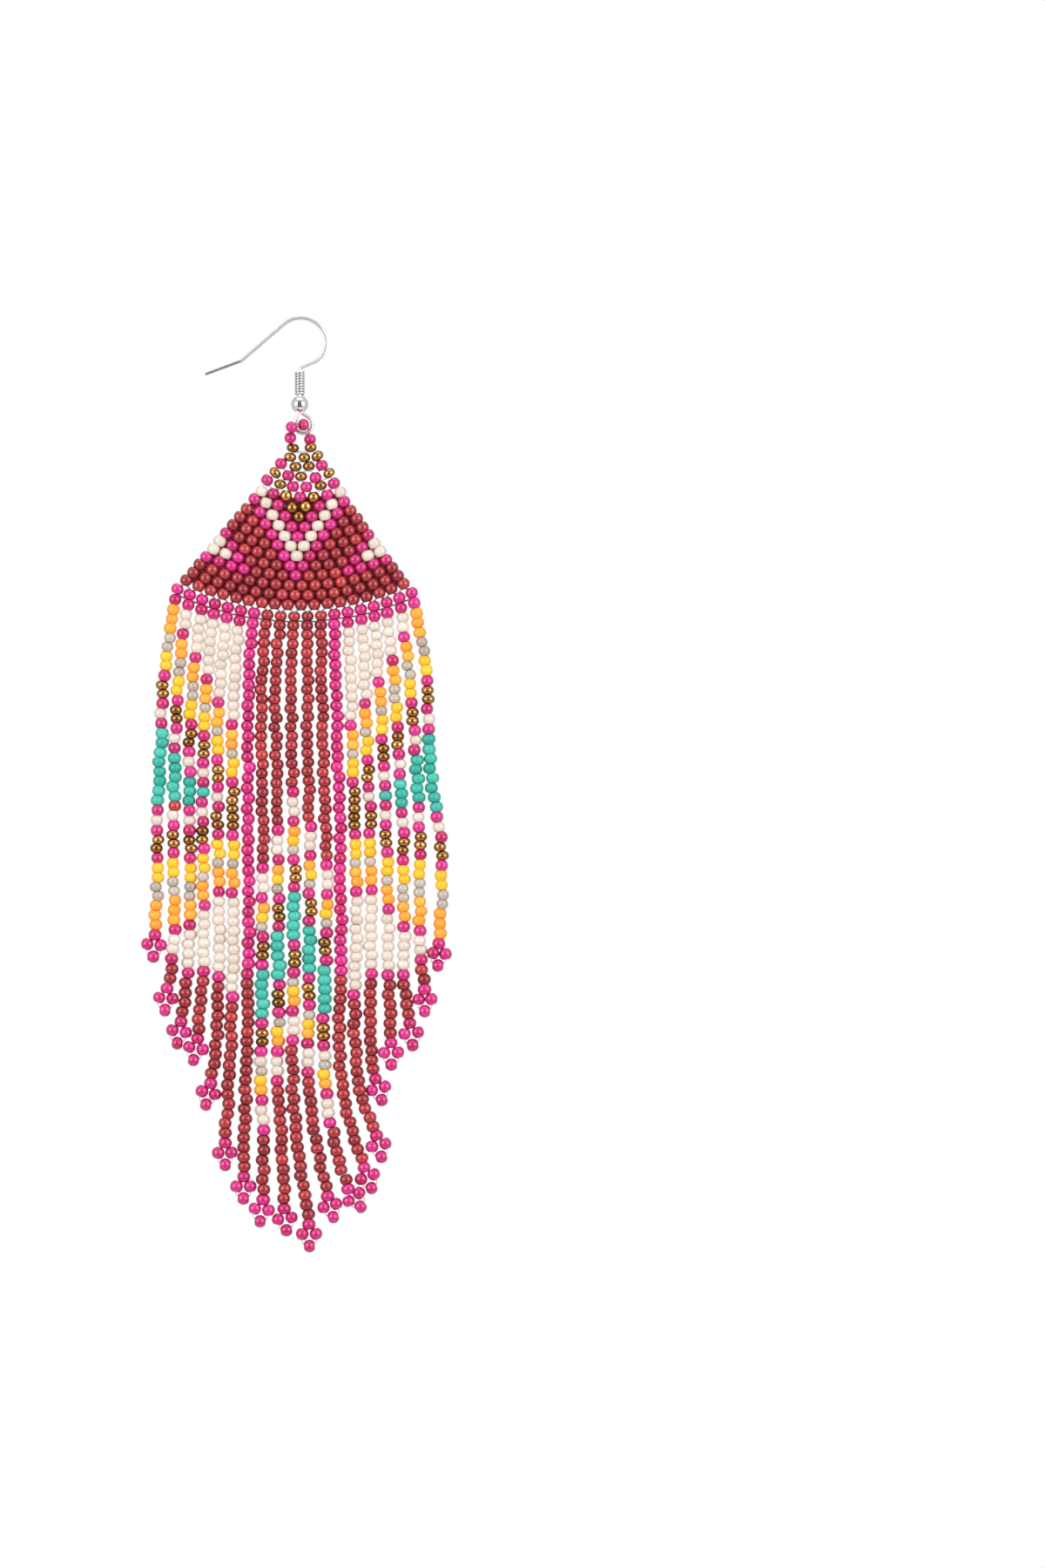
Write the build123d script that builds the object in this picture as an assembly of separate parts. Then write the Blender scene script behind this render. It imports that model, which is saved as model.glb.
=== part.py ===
from build123d import *

from math import acos, atan2, cos, degrees, pi, radians, sin, sqrt, tan
import os

# A long drop earring: a bent wire hook with a wound coil and a ball, a loop of four
# beads that hangs in the hook's ring, a stitched fan of seed beads, and a fringe of
# nineteen bead strands that each end in a small picot of three beads.
# Millimetres. +Z is up, -Y is the front, +X is the side of the hook's round bend.
# The origin is the inside of the top of the bend, where the hook sits in the ear.

# Ear hook, one wire in the plane of the fan
wire_d = 0.6
bend_r = 4.45
front_bend_r = 3.7
front_slope = 22.0
back_slope = 40.6
back_run = 10.0
tail_slope = 20.4
tail_run = 6.6
kink_r = 1.2
neck_r = 0.6
stem_x = -0.15

# Coil of finer wire wound round the stem
coil_wire_d = 0.4
coil_clearance = 0.2
coil_pitch = 0.45
coil_turns = 9.0
coil_below_neck = 0.08

# Ball on the stem below the coil
ball_d = 3.0
ball_clearance = 0.06
ball_wire_clearance = 0.1
ball_bend_r = 0.75
ball_bend_drop = 0.5

# Ring that the stem's end is bent into below the ball
ring_r = 1.55
ring_x = 0.5
ring_drop = 3.55
ring_neck_r = 0.5
leg_gap = 0.1
leg_tuck = 0.45

# Seed beads, which set the size of everything that is strung or stitched
bead_d = 2.0
bead_hole_d = 0.8
bead_edge_r = 0.45
loop_bead_length = 1.5
thread_d = 0.22

# Fan of beads stitched in rows, one bead more in each row down. Its first row hangs
# fan_drop below the middle of the ring. The arcs lean, and each drifts a little to one
# side of the arc above, which it reaches into by row_overlap.
fan_drop = 4.23
fan_lean = -0.9
row_drift = -0.05
row_overlap = 0.06
first_row = 2
last_row = 18
last_row_r = 47.38
row_pitch = 1.712
bead_pitch = 2.305
first_row_pitch = 3.1
first_row_top = 0.56
ladder_pitch = 2.352
fringe_gap = 0.3
socket_depth = 1.2
socket_clearance = 0.1

# Fringe strands: places of the route from each strand's top bead, as (sideways, down)
strand_d = 2.0
strand_routes = [
    [(-1.4, 7.7), (-2.8, 19.2), (-2.9, 29.1), (-3.6, 39.0), (-3.4, 51.2), (-4.0, 60.6)],
    [(-1.1, 7.5), (-2.4, 18.9), (-2.7, 31.9), (-2.9, 44.9), (-2.6, 55.9), (-2.8, 63.7), (-4.0, 69.0)],
    [(-1.0, 7.4), (-2.1, 19.6), (-2.2, 31.8), (-2.1, 46.3), (-2.3, 60.4), (-2.7, 68.7), (-3.8, 74.0)],
    [(-1.2, 8.9), (-2.1, 21.9), (-2.2, 36.4), (-2.0, 50.1), (-1.9, 63.9), (-3.0, 76.2)],
    [(-1.2, 9.0), (-1.8, 22.0), (-1.9, 35.7), (-1.4, 47.9), (-1.6, 61.7), (-1.7, 70.9), (-2.0, 77.7), (-3.0, 83.4)],
    [(-1.2, 8.9), (-1.5, 23.0), (-1.3, 36.8), (-1.4, 50.5), (-1.5, 64.3), (-1.8, 79.5), (-2.8, 93.3)],
    [(-1.2, 9.6), (-1.0, 24.1), (-1.1, 39.4), (-0.9, 54.7), (-1.1, 69.9), (-1.5, 84.4), (-1.9, 98.8)],
    [(-1.1, 8.5), (-1.1, 22.2), (-0.7, 36.7), (-0.8, 50.5), (-0.9, 65.0), (-1.2, 80.3), (-0.6, 92.5), (-0.8, 102.5)],
    [(-1.0, 8.4), (-0.9, 22.1), (-0.4, 37.4), (-0.5, 52.6), (-0.2, 66.4), (-0.8, 81.6), (0.5, 94.6), (0.5, 103.9)],
    [(-0.6, 9.0), (-0.4, 22.0), (0.0, 38.8), (0.1, 55.6), (-0.3, 70.8), (-0.4, 83.0), (0.7, 94.5), (2.6, 106.5)],
    [(-0.1, 8.2), (0.0, 23.5), (0.5, 40.3), (0.4, 55.5), (0.1, 70.8), (0.1, 81.5), (1.2, 91.4), (3.5, 101.6)],
    [(0.1, 8.4), (0.3, 23.6), (1.0, 40.4), (0.9, 54.2), (0.5, 67.9), (0.4, 79.4), (1.8, 90.8), (4.7, 100.5)],
    [(0.3, 9.3), (0.5, 23.8), (1.1, 40.6), (1.2, 54.4), (0.9, 68.1), (0.8, 78.0), (2.0, 88.0), (5.2, 97.0)],
    [(0.5, 9.7), (0.8, 24.2), (1.4, 39.5), (1.6, 53.2), (1.3, 67.0), (1.2, 76.9), (2.1, 85.2), (5.1, 91.7)],
    [(0.7, 10.2), (1.1, 24.7), (1.7, 38.5), (1.9, 53.7), (1.6, 65.2), (1.8, 72.9), (1.9, 78.2), (2.6, 82.3)],
    [(0.7, 10.7), (1.6, 23.7), (2.2, 37.5), (2.6, 52.7), (2.5, 64.9), (3.0, 76.5)],
    [(1.1, 10.7), (2.2, 25.2), (2.9, 39.7), (3.0, 53.4), (3.1, 63.0), (3.2, 69.5), (4.1, 73.8)],
    [(1.8, 12.3), (2.8, 25.3), (3.6, 39.0), (3.7, 51.1), (3.5, 60.6), (4.4, 68.6)],
    [(2.4, 10.0), (2.8, 20.7), (3.2, 32.2), (5.1, 42.1), (5.5, 52.0), (4.8, 61.5)],
]
# How far each strand's tip hangs behind (+) or in front (-) of the fan
tip_depths = [0.3, -0.3, 0.4, -0.3, 0.2, -0.4, 0.3, -0.2, 0.4, -0.3, 0.2, -0.4, 0.5, -0.3, 0.5, -0.4, 0.4, -0.3, 0.2]
# How far each picot is turned from straight down, in degrees, positive towards +X
picot_turns = [-4, -5, -9, -11, -13, 1, 0, -7, 7, 1, 15, 36, 20, 12, 16, 1, 7, 1, -3]
strand_corner_share = 0.45
picot_side = 1.2
picot_side_drop = 1.72
picot_tip_drop = 3.82
picot_bead_r = 0.88
picot_root = 1.0

# Bead loop: the corners of its thread, from the middle of the ring, and each bead's place
# as a share of the stretch that starts at that corner, with None where there is no bead
loop_corners = [
    (-1.96, -0.1, -3.2),
    (-2.67, -1.55, -1.36),
    (-1.35, -2.0, 0.35),
    (0.82, 0.4, -0.33),
    (0.86, 0.52, -0.97),
    (1.3, 0.18, -3.52),
]
loop_bead_shares = [0.46, 0.48, 0.62, None, 0.64, None]
loop_corner_share = 0.3

# Sizes that follow from the ones above
wire_r = wire_d / 2
bend_z = wire_r - bend_r
leg_offset = (wire_d + leg_gap) / 2
ball_bore_r = leg_offset + wire_r + ball_wire_clearance
coil_mean_r = wire_r + coil_clearance + coil_wire_d / 2
ladder_r = last_row_r + row_pitch + fringe_gap


def at(x, z, y=0.0):
    """A place in the plane of the hook and the fan."""
    return Vector(x, y, z)


def on_arc(centre, radius, angle):
    """A place on an arc in that plane, with the angle counted from +X towards +Z."""
    return at(centre.X + radius * cos(radians(angle)), centre.Z + radius * sin(radians(angle)))


def arc(centre, radius, start, end):
    """An arc in that plane."""
    return ThreePointArc(
        on_arc(centre, radius, start), on_arc(centre, radius, (start + end) / 2), on_arc(centre, radius, end)
    )


def sweep_round(path, diameter):
    """A round wire, thread or strand along a path."""
    start = Plane(origin=path @ 0, z_dir=path % 0)
    return sweep(start * Circle(diameter / 2), path=path)


def corner_radii(points, share):
    """The largest even radii that the runs between the points allow."""
    radii = []
    for before, here, after in zip(points, points[1:], points[2:]):
        turn = radians((here - before).get_angle(after - here))
        radii.append(share * min((here - before).length, (after - here).length) / tan(turn / 2))
    return radii


def coil_top():
    """The height of the coil's upper end, just under the bend of the neck."""
    return neck_corner().Z - neck_r * tan(radians(90 - front_slope) / 2) - coil_below_neck


def neck_corner():
    """Where the run from the bend meets the line of the stem."""
    centre = at(bend_r - front_bend_r, bend_z)
    leave = on_arc(centre, front_bend_r, front_slope - 90)
    return at(stem_x, leave.Z - (leave.X - stem_x) * tan(radians(front_slope)))


def ball_centre():
    """The middle of the ball, which hangs under the coil."""
    lowest_turn = coil_top() - coil_wire_d / 2 - coil_pitch * coil_turns
    reach = ball_d / 2 + ball_clearance + coil_wire_d / 2
    return at(stem_x, lowest_turn - sqrt(reach**2 - coil_mean_r**2))


def ring_centre():
    """The middle of the ring below the ball."""
    return at(ring_x, ball_centre().Z - ring_drop)


def ring_leg(side):
    """Where a leg of the ring leaves the ball, and the angle at which it meets the ring."""
    corner = at(stem_x + side * leg_offset, ball_centre().Z - ball_d / 2)
    away = corner - ring_centre()
    return corner, degrees(atan2(away.Z, away.X) - side * acos(ring_r / away.length))


def hook_path():
    """The wire from its free tip, over the bend, down the stem and round the ring."""
    bend = at(0, bend_z)
    back_start = on_arc(bend, bend_r, 90 + back_slope)
    kink = back_start - at(cos(radians(back_slope)), sin(radians(back_slope))) * back_run
    tip = kink - at(cos(radians(tail_slope)), sin(radians(tail_slope))) * tail_run
    tail = FilletPolyline(tip, kink, back_start, radius=kink_r)
    over = arc(bend, bend_r, 90 + back_slope, 0)
    front_bend = at(bend_r - front_bend_r, bend_z)
    front = arc(front_bend, front_bend_r, 0, front_slope - 90)

    ball, ring = ball_centre(), ring_centre()
    right_corner, right_angle = ring_leg(1)
    left_corner, left_angle = ring_leg(-1)
    stem = FilletPolyline(
        front @ 1,
        neck_corner(),
        at(stem_x, ball.Z + ball_d / 2),
        at(right_corner.X, ball.Z - ball_bend_drop),
        right_corner,
        on_arc(ring, ring_r, right_angle),
        radius=[neck_r, ball_bend_r, ball_bend_r, ring_neck_r],
    )
    round_ring = arc(ring, ring_r, right_angle, left_angle - 360)
    tuck = FilletPolyline(
        on_arc(ring, ring_r, left_angle), left_corner, left_corner + at(0, leg_tuck), radius=ring_neck_r
    )
    return Wire([*tail.edges(), over, front, *stem.edges(), round_ring, *tuck.edges()])


def make_hook():
    """The hook, with its ring, from one wire."""
    return sweep_round(hook_path(), wire_d)


def make_coil():
    """The coil, wound round the stem from just above the ball."""
    height = coil_pitch * coil_turns
    path = Helix(coil_pitch, height, coil_mean_r)
    start = Plane(origin=path @ 0, z_dir=path % 0)
    coil = sweep(start * Circle(coil_wire_d / 2), path=path, is_frenet=True)
    return Pos(stem_x, 0, coil_top() - coil_wire_d / 2 - height) * coil


def make_ball():
    """The ball, bored for the stem and for the tucked end of the ring."""
    centre = ball_centre()
    return Pos(centre) * (Sphere(ball_d / 2) - Cylinder(ball_bore_r, 2 * ball_d))


def make_bead(length):
    """One seed bead along Z, with rounded ends and a hole for the thread."""
    side = Pos((bead_d + bead_hole_d) / 4, 0) * Rectangle((bead_d - bead_hole_d) / 2, length)
    side = fillet(side.vertices().group_by(Axis.X)[-1], bead_edge_r)
    return revolve(Plane.XZ * side, Axis.Z)


def row_radius(row):
    """The radius of a row's middle line."""
    return last_row_r - (last_row - row) * row_pitch


def row_centre(row):
    """The centre of a row's arc, which keeps the first row the same way below the ring."""
    ring = ring_centre()
    drift = row_drift * (row - first_row)
    return at(ring.X + drift, ring.Z - fan_drop + row_radius(first_row))


def fan_place(row, radius, angle):
    """A place by a row of the fan, with the angle counted from the row's leaning middle."""
    turn = radians(angle + fan_lean)
    return row_centre(row) + at(radius * sin(turn), -radius * cos(turn))


def row_spacing(row):
    """The distance between a row's beads along its arc."""
    return first_row_pitch if row == first_row else bead_pitch


def socket_places():
    """The outer ends and the bottoms of the two holes that take the loop's thread."""
    radius = row_radius(first_row)
    half = degrees(row_spacing(first_row) / 2 / radius)
    mouth = radius - first_row_top
    places = []
    for angle in (-half, half):
        end = fan_place(first_row, mouth + socket_depth, angle)
        places.append((fan_place(first_row, mouth, angle), end))
    return places


def loop_points():
    """The corners of the loop's thread, from one hole of the fan to the other."""
    (_, left_end), (_, right_end) = socket_places()
    corners = [ring_centre() + Vector(*corner) for corner in loop_corners]
    return [left_end, *corners, right_end]


def make_loop_beads():
    """The four beads of the loop, each along its stretch of the thread."""
    points = loop_points()[1:]
    beads = []
    for start, end, share in zip(points, points[1:], loop_bead_shares):
        if share is not None:
            place = Plane(origin=start + (end - start) * share, z_dir=end - start)
            beads.append(place * make_bead(loop_bead_length))
    return Compound(children=beads)


def make_loop_thread():
    """The thread of the loop, which runs straight through each bead."""
    points = loop_points()
    path = FilletPolyline(*points, radius=corner_radii(points, loop_corner_share))
    return sweep_round(path, thread_d)


def make_fan():
    """The stitched fan: one arc of beads below another, as one solid."""
    fan = Sketch()
    for row in range(first_row, last_row + 1):
        radius = row_radius(row)
        above = first_row_top if row == first_row else row_pitch / 2 + row_overlap
        half = degrees(row * row_spacing(row) / 2 / radius)
        start = fan_lean - half - 90
        centre = (row_centre(row).X, row_centre(row).Z)
        inner = CenterArc(centre, radius - above, start, 2 * half)
        outer = CenterArc(centre, radius + row_pitch / 2, start, 2 * half)
        ends = [Line(inner @ end, outer @ end) for end in (0, 1)]
        fan += make_face([inner, outer, *ends])
    body = extrude(Plane.XZ * fan, amount=bead_d / 2, both=True)
    for mouth, end in socket_places():
        deep = end + (end - mouth).normalized() * socket_clearance
        bore = Plane(origin=mouth, z_dir=deep - mouth) * Cylinder(
            bead_hole_d / 2, 2 * (deep - mouth).length
        )
        body -= bore
    return body


def strand_points(index):
    """The route of one strand, from the top of its first bead to past its last one."""
    count = len(strand_routes)
    angle = degrees(ladder_pitch / ladder_r) * (index - (count - 1) / 2)
    first = fan_place(last_row + 1, ladder_r, angle)
    top = fan_place(last_row + 1, ladder_r - row_pitch / 2, angle)
    length = strand_routes[index][-1][1]
    points = [top]
    for sideways, down in strand_routes[index]:
        points.append(first + at(sideways, -down, tip_depths[index] * down / length))
    last, before = points[-1], points[-2]
    points[-1] = last + (last - before).normalized() * picot_root
    return points, last


def make_strand(index):
    """One strand of the fringe with the picot that ends it."""
    points, last = strand_points(index)
    radii = corner_radii(points, strand_corner_share)
    path = FilletPolyline(*points, radius=radii)
    strand = sweep_round(path, strand_d)
    section = pi * strand_d**2 / 4
    print(
        f"strand {index + 1}: length {path.length:.1f}, smallest radius {min(radii):.0f},"
        f" volume over section times length {strand.volume / section / path.length:.4f}"
    )
    corners = [(-picot_side, -picot_side_drop), (picot_side, -picot_side_drop), (0, -picot_tip_drop)]
    circles = [Pos(x, z) * Circle(picot_bead_r) for x, z in corners]
    beads = make_hull([edge for circle in circles for edge in circle.edges()])
    picot = extrude(Plane.XZ * beads, amount=picot_bead_r, both=True)
    return strand + Pos(last) * Rot(0, -picot_turns[index], 0) * picot


parts = {
    "ear_hook": make_hook(),
    "hook_coil": make_coil(),
    "hook_ball": make_ball(),
    "loop_beads": make_loop_beads(),
    "loop_thread": make_loop_thread(),
    "bead_fan": make_fan(),
}
for index in range(len(strand_routes)):
    parts[f"strand_{index + 1:02d}"] = make_strand(index)

os.makedirs("parts", exist_ok=True)
for name, shape in parts.items():
    export_step(shape, f"parts/{name}.step")
    print(name, "volume", round(shape.volume, 2))
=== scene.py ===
"""Looks for the beaded fringe earring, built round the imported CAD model.

Every seed bead, thread and wire is its own geometry. Sizes in the classes are
millimetres, and everything that Blender gets is metres.
"""

from __future__ import annotations

import logging
import math
import random
from dataclasses import dataclass, field
from enum import Enum
from typing import Optional, Sequence

import bpy
import numpy as np
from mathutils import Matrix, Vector

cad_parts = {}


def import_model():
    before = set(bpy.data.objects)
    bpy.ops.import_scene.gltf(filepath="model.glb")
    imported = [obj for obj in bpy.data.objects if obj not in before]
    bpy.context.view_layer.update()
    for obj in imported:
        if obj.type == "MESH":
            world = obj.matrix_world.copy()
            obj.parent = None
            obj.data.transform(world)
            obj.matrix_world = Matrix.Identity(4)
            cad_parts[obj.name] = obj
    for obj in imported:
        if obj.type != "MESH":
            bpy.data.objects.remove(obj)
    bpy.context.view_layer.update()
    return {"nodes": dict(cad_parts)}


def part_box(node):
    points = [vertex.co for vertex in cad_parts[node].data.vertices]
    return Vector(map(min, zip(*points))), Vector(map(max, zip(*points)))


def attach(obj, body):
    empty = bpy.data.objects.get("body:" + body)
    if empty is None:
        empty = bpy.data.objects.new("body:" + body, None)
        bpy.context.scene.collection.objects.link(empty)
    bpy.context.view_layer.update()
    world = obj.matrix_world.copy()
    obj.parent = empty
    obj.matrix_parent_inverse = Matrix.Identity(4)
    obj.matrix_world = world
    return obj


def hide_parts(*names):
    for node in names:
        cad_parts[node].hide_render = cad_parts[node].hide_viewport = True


log = logging.getLogger("earring")

MM = 0.001
SEED = 19

# Points of a line that are nearer to each other than this, in millimetres, count as one
SAME_PLACE = 1e-4


class Hue(Enum):
    """The colours of seed bead, each with its letter in the charts."""

    MAGENTA = "m"
    BRICK = "r"
    CREAM = "w"
    ORANGE = "o"
    GREIGE = "g"
    YELLOW = "y"
    BRONZE = "b"
    TEAL = "t"


def srgb(red: int, green: int, blue: int) -> tuple[float, float, float, float]:
    """A colour given in 0-255 display values, as Blender's linear one.

    Args:
        red: the red value.
        green: the green value.
        blue: the blue value.

    Returns:
        The linear colour with full alpha.
    """
    linear = []
    for value in (red, green, blue):
        share = value / 255
        linear.append(share / 12.92 if share <= 0.04045 else ((share + 0.055) / 1.055) ** 2.4)
    return (linear[0], linear[1], linear[2], 1.0)


# Shader building


def add_node(tree: bpy.types.NodeTree, kind: str, **settings: object) -> bpy.types.Node:
    """Adds a node to a tree and sets its properties.

    Args:
        tree: the tree that gets the node.
        kind: the node's type name.
        **settings: properties of the node by name.

    Returns:
        The new node.
    """
    node = tree.nodes.new(kind)
    for name, value in settings.items():
        setattr(node, name, value)
    return node


def set_inputs(node: bpy.types.Node, **values: object) -> bpy.types.Node:
    """Sets a node's input sockets, named with _ for each space.

    Args:
        node: the node.
        **values: the value of each socket.

    Returns:
        The same node.
    """
    for name, value in values.items():
        node.inputs[name.replace("_", " ")].default_value = value
    return node


def new_group(
    name: str, inputs: Sequence[tuple[str, str]], outputs: Sequence[tuple[str, str]]
) -> tuple[bpy.types.NodeTree, bpy.types.Node, bpy.types.Node]:
    """Makes an empty shader group with named sockets.

    Args:
        name: the group's name.
        inputs: each input's name and socket type.
        outputs: each output's name and socket type.

    Returns:
        The group, its input node and its output node.
    """
    group = bpy.data.node_groups.new(name, "ShaderNodeTree")
    for label, kind in inputs:
        group.interface.new_socket(label, in_out="INPUT", socket_type=kind)
    for label, kind in outputs:
        group.interface.new_socket(label, in_out="OUTPUT", socket_type=kind)
    return group, group.nodes.new("NodeGroupInput"), group.nodes.new("NodeGroupOutput")


def place_noise(tree: bpy.types.NodeTree, scale: bpy.types.NodeSocket, detail: float) -> bpy.types.Node:
    """A noise texture over the object's own coordinates.

    Args:
        tree: the tree that gets it.
        scale: the socket that gives the scale.
        detail: the noise's detail.

    Returns:
        The noise node.
    """
    where = add_node(tree, "ShaderNodeTexCoord")
    noise = set_inputs(add_node(tree, "ShaderNodeTexNoise"), Detail=detail)
    tree.links.new(where.outputs["Object"], noise.inputs["Vector"])
    tree.links.new(scale, noise.inputs["Scale"])
    return noise


def make_dye_group() -> bpy.types.NodeTree:
    """Colour of dyed or plated stock that differs from bead to bead, with a faint mottle.

    Returns:
        The group.
    """
    group, given, put = new_group(
        "dye_lot",
        [
            ("Deep", "NodeSocketColor"),
            ("Pale", "NodeSocketColor"),
            ("Tone", "NodeSocketFloat"),
            ("Mottle", "NodeSocketFloat"),
            ("Scale", "NodeSocketFloat"),
        ],
        [("Color", "NodeSocketColor"), ("Mask", "NodeSocketFloat")],
    )
    noise = place_noise(group, given.outputs["Scale"], detail=4.0)
    centred = add_node(group, "ShaderNodeMath", operation="SUBTRACT")
    centred.inputs[1].default_value = 0.5
    weighed = add_node(group, "ShaderNodeMath", operation="MULTIPLY")
    summed = add_node(group, "ShaderNodeMath", operation="ADD", use_clamp=True)
    blend = add_node(group, "ShaderNodeMix", data_type="RGBA")
    links = group.links
    links.new(noise.outputs["Fac"], centred.inputs[0])
    links.new(centred.outputs[0], weighed.inputs[0])
    links.new(given.outputs["Mottle"], weighed.inputs[1])
    links.new(weighed.outputs[0], summed.inputs[0])
    links.new(given.outputs["Tone"], summed.inputs[1])
    links.new(summed.outputs[0], blend.inputs["Factor"])
    links.new(given.outputs["Deep"], blend.inputs["A"])
    links.new(given.outputs["Pale"], blend.inputs["B"])
    links.new(blend.outputs["Result"], put.inputs["Color"])
    links.new(summed.outputs[0], put.inputs["Mask"])
    return group


def make_grain_group() -> bpy.types.NodeTree:
    """Fine pits and ripples of a fired or drawn surface.

    Returns:
        The group.
    """
    group, given, put = new_group(
        "fine_grain",
        [
            ("Scale", "NodeSocketFloat"),
            ("Strength", "NodeSocketFloat"),
            ("Depth", "NodeSocketFloat"),
        ],
        [("Normal", "NodeSocketVector"), ("Mask", "NodeSocketFloat")],
    )
    noise = place_noise(group, given.outputs["Scale"], detail=5.0)
    bump = add_node(group, "ShaderNodeBump")
    links = group.links
    links.new(noise.outputs["Fac"], bump.inputs["Height"])
    links.new(given.outputs["Strength"], bump.inputs["Strength"])
    links.new(given.outputs["Depth"], bump.inputs["Distance"])
    links.new(bump.outputs["Normal"], put.inputs["Normal"])
    links.new(noise.outputs["Fac"], put.inputs["Mask"])
    return group


@dataclass
class ShaderKit:
    """The shader groups that the finishes share."""

    dye_lot: bpy.types.NodeTree
    fine_grain: bpy.types.NodeTree

    @classmethod
    def make(cls) -> "ShaderKit":
        """Builds each group once."""
        return cls(make_dye_group(), make_grain_group())


def new_material(name: str, **values: object) -> tuple[bpy.types.Material, bpy.types.Node]:
    """Makes a material with one Principled shader.

    Args:
        name: the material's name.
        **values: the shader's plain input values by name.

    Returns:
        The material and its shader.
    """
    made = bpy.data.materials.new(name)
    made.use_nodes = True
    return made, set_inputs(made.node_tree.nodes["Principled BSDF"], **values)


def read_attribute(tree: bpy.types.NodeTree, name: str) -> bpy.types.NodeSocket:
    """The socket that gives a mesh attribute's value in a material."""
    return add_node(tree, "ShaderNodeAttribute", attribute_name=name).outputs["Fac"]


def place_group(tree: bpy.types.NodeTree, group: bpy.types.NodeTree, **values: object) -> bpy.types.Node:
    """Places a shared group in a material's tree, with its own input values by name."""
    return set_inputs(add_node(tree, "ShaderNodeGroup", node_tree=group), **values)


def spread_roughness(
    tree: bpy.types.NodeTree, mask: bpy.types.NodeSocket, shader: bpy.types.Node, low: float, high: float
) -> None:
    """Lets a mask set a shader's roughness between two values.

    Args:
        tree: the material's tree.
        mask: the mask's socket.
        shader: the Principled shader.
        low: the roughness where the mask is 0.
        high: the roughness where the mask is 1.
    """
    span = set_inputs(add_node(tree, "ShaderNodeMapRange"), To_Min=low, To_Max=high)
    tree.links.new(mask, span.inputs["Value"])
    tree.links.new(span.outputs["Result"], shader.inputs["Roughness"])


# From how far a surface turns away its painted edge shade starts, and where it is darkest
RIM_SHADE_SPAN = (0.25, 0.95)


def paint_rim_shade(
    tree: bpy.types.NodeTree,
    colour: bpy.types.NodeSocket,
    shader: bpy.types.Node,
    tint: tuple[int, int, int],
    strength: float,
) -> None:
    """Colours a shader with painted shade, darker where its surface turns away from the eye.

    Args:
        tree: the material's tree.
        colour: the socket of the colour seen face on.
        shader: the Principled shader.
        tint: what the colour is multiplied by at the edges, as painted shade.
        strength: how much of the tint shows there as painted shade, from 0 to 1.
    """
    # painted shade: the facing angle darkens the colour towards the edges
    edge = set_inputs(add_node(tree, "ShaderNodeLayerWeight"), Blend=0.5)
    span = add_node(tree, "ShaderNodeMapRange")
    set_inputs(span, From_Min=RIM_SHADE_SPAN[0], From_Max=RIM_SHADE_SPAN[1], To_Max=strength)
    shaded = add_node(tree, "ShaderNodeMix", data_type="RGBA", blend_type="MULTIPLY")
    shaded.inputs["B"].default_value = srgb(*tint)
    tree.links.new(edge.outputs["Facing"], span.inputs["Value"])
    tree.links.new(span.outputs["Result"], shaded.inputs["Factor"])
    tree.links.new(colour, shaded.inputs["A"])
    tree.links.new(shaded.outputs["Result"], shader.inputs["Base Color"])


@dataclass(frozen=True)
class BeadFinish:
    """The glass, glaze or plating of one colour of seed bead, and that colour's usual shape.

    Lengths are millimetres. Squareness is 2 for a round side and more for a flatter one, and
    end_cut is how much longer the bead would be if its ends weren't cut off.
    """

    hue: Hue
    deep: tuple[int, int, int]
    pale: tuple[int, int, int]
    length: float
    width: float
    squareness: float = 2.15
    end_cut: float = 1.2
    roughness: tuple[float, float] = (0.3, 0.42)
    lustre: float = 0.0
    # How strongly painted shade darkens the colour towards the bead's edges, from 0 to 1
    rim_shade: float = 0.7
    coat: float = 0.0
    coat_roughness: float = 0.28
    mottle: float = 0.25
    mottle_scale: float = 2600.0
    grain: float = 0.12
    grain_scale: float = 9000.0
    grain_depth: float = 0.01

    def material(self, kit: ShaderKit) -> bpy.types.Material:
        """Makes the material.

        Args:
            kit: the shared shader groups.

        Returns:
            The material of this colour.
        """
        made, shader = new_material(
            f"bead_{self.hue.name.lower()}",
            Metallic=self.lustre,
            Coat_Weight=self.coat,
            Coat_Roughness=self.coat_roughness,
        )
        tree = made.node_tree
        dye = place_group(
            tree,
            kit.dye_lot,
            Deep=srgb(*self.deep),
            Pale=srgb(*self.pale),
            Mottle=self.mottle,
            Scale=self.mottle_scale,
        )
        grain = place_group(
            tree,
            kit.fine_grain,
            Scale=self.grain_scale,
            Strength=self.grain,
            Depth=self.grain_depth * MM,
        )
        links = tree.links
        links.new(read_attribute(tree, "bead_tone"), dye.inputs["Tone"])
        # painted shade: the dye darkens towards its deep colour at the bead's edges
        paint_rim_shade(tree, dye.outputs["Color"], shader, self.deep, self.rim_shade)
        links.new(grain.outputs["Normal"], shader.inputs["Normal"])
        spread_roughness(tree, grain.outputs["Mask"], shader, *self.roughness)
        return made


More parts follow.
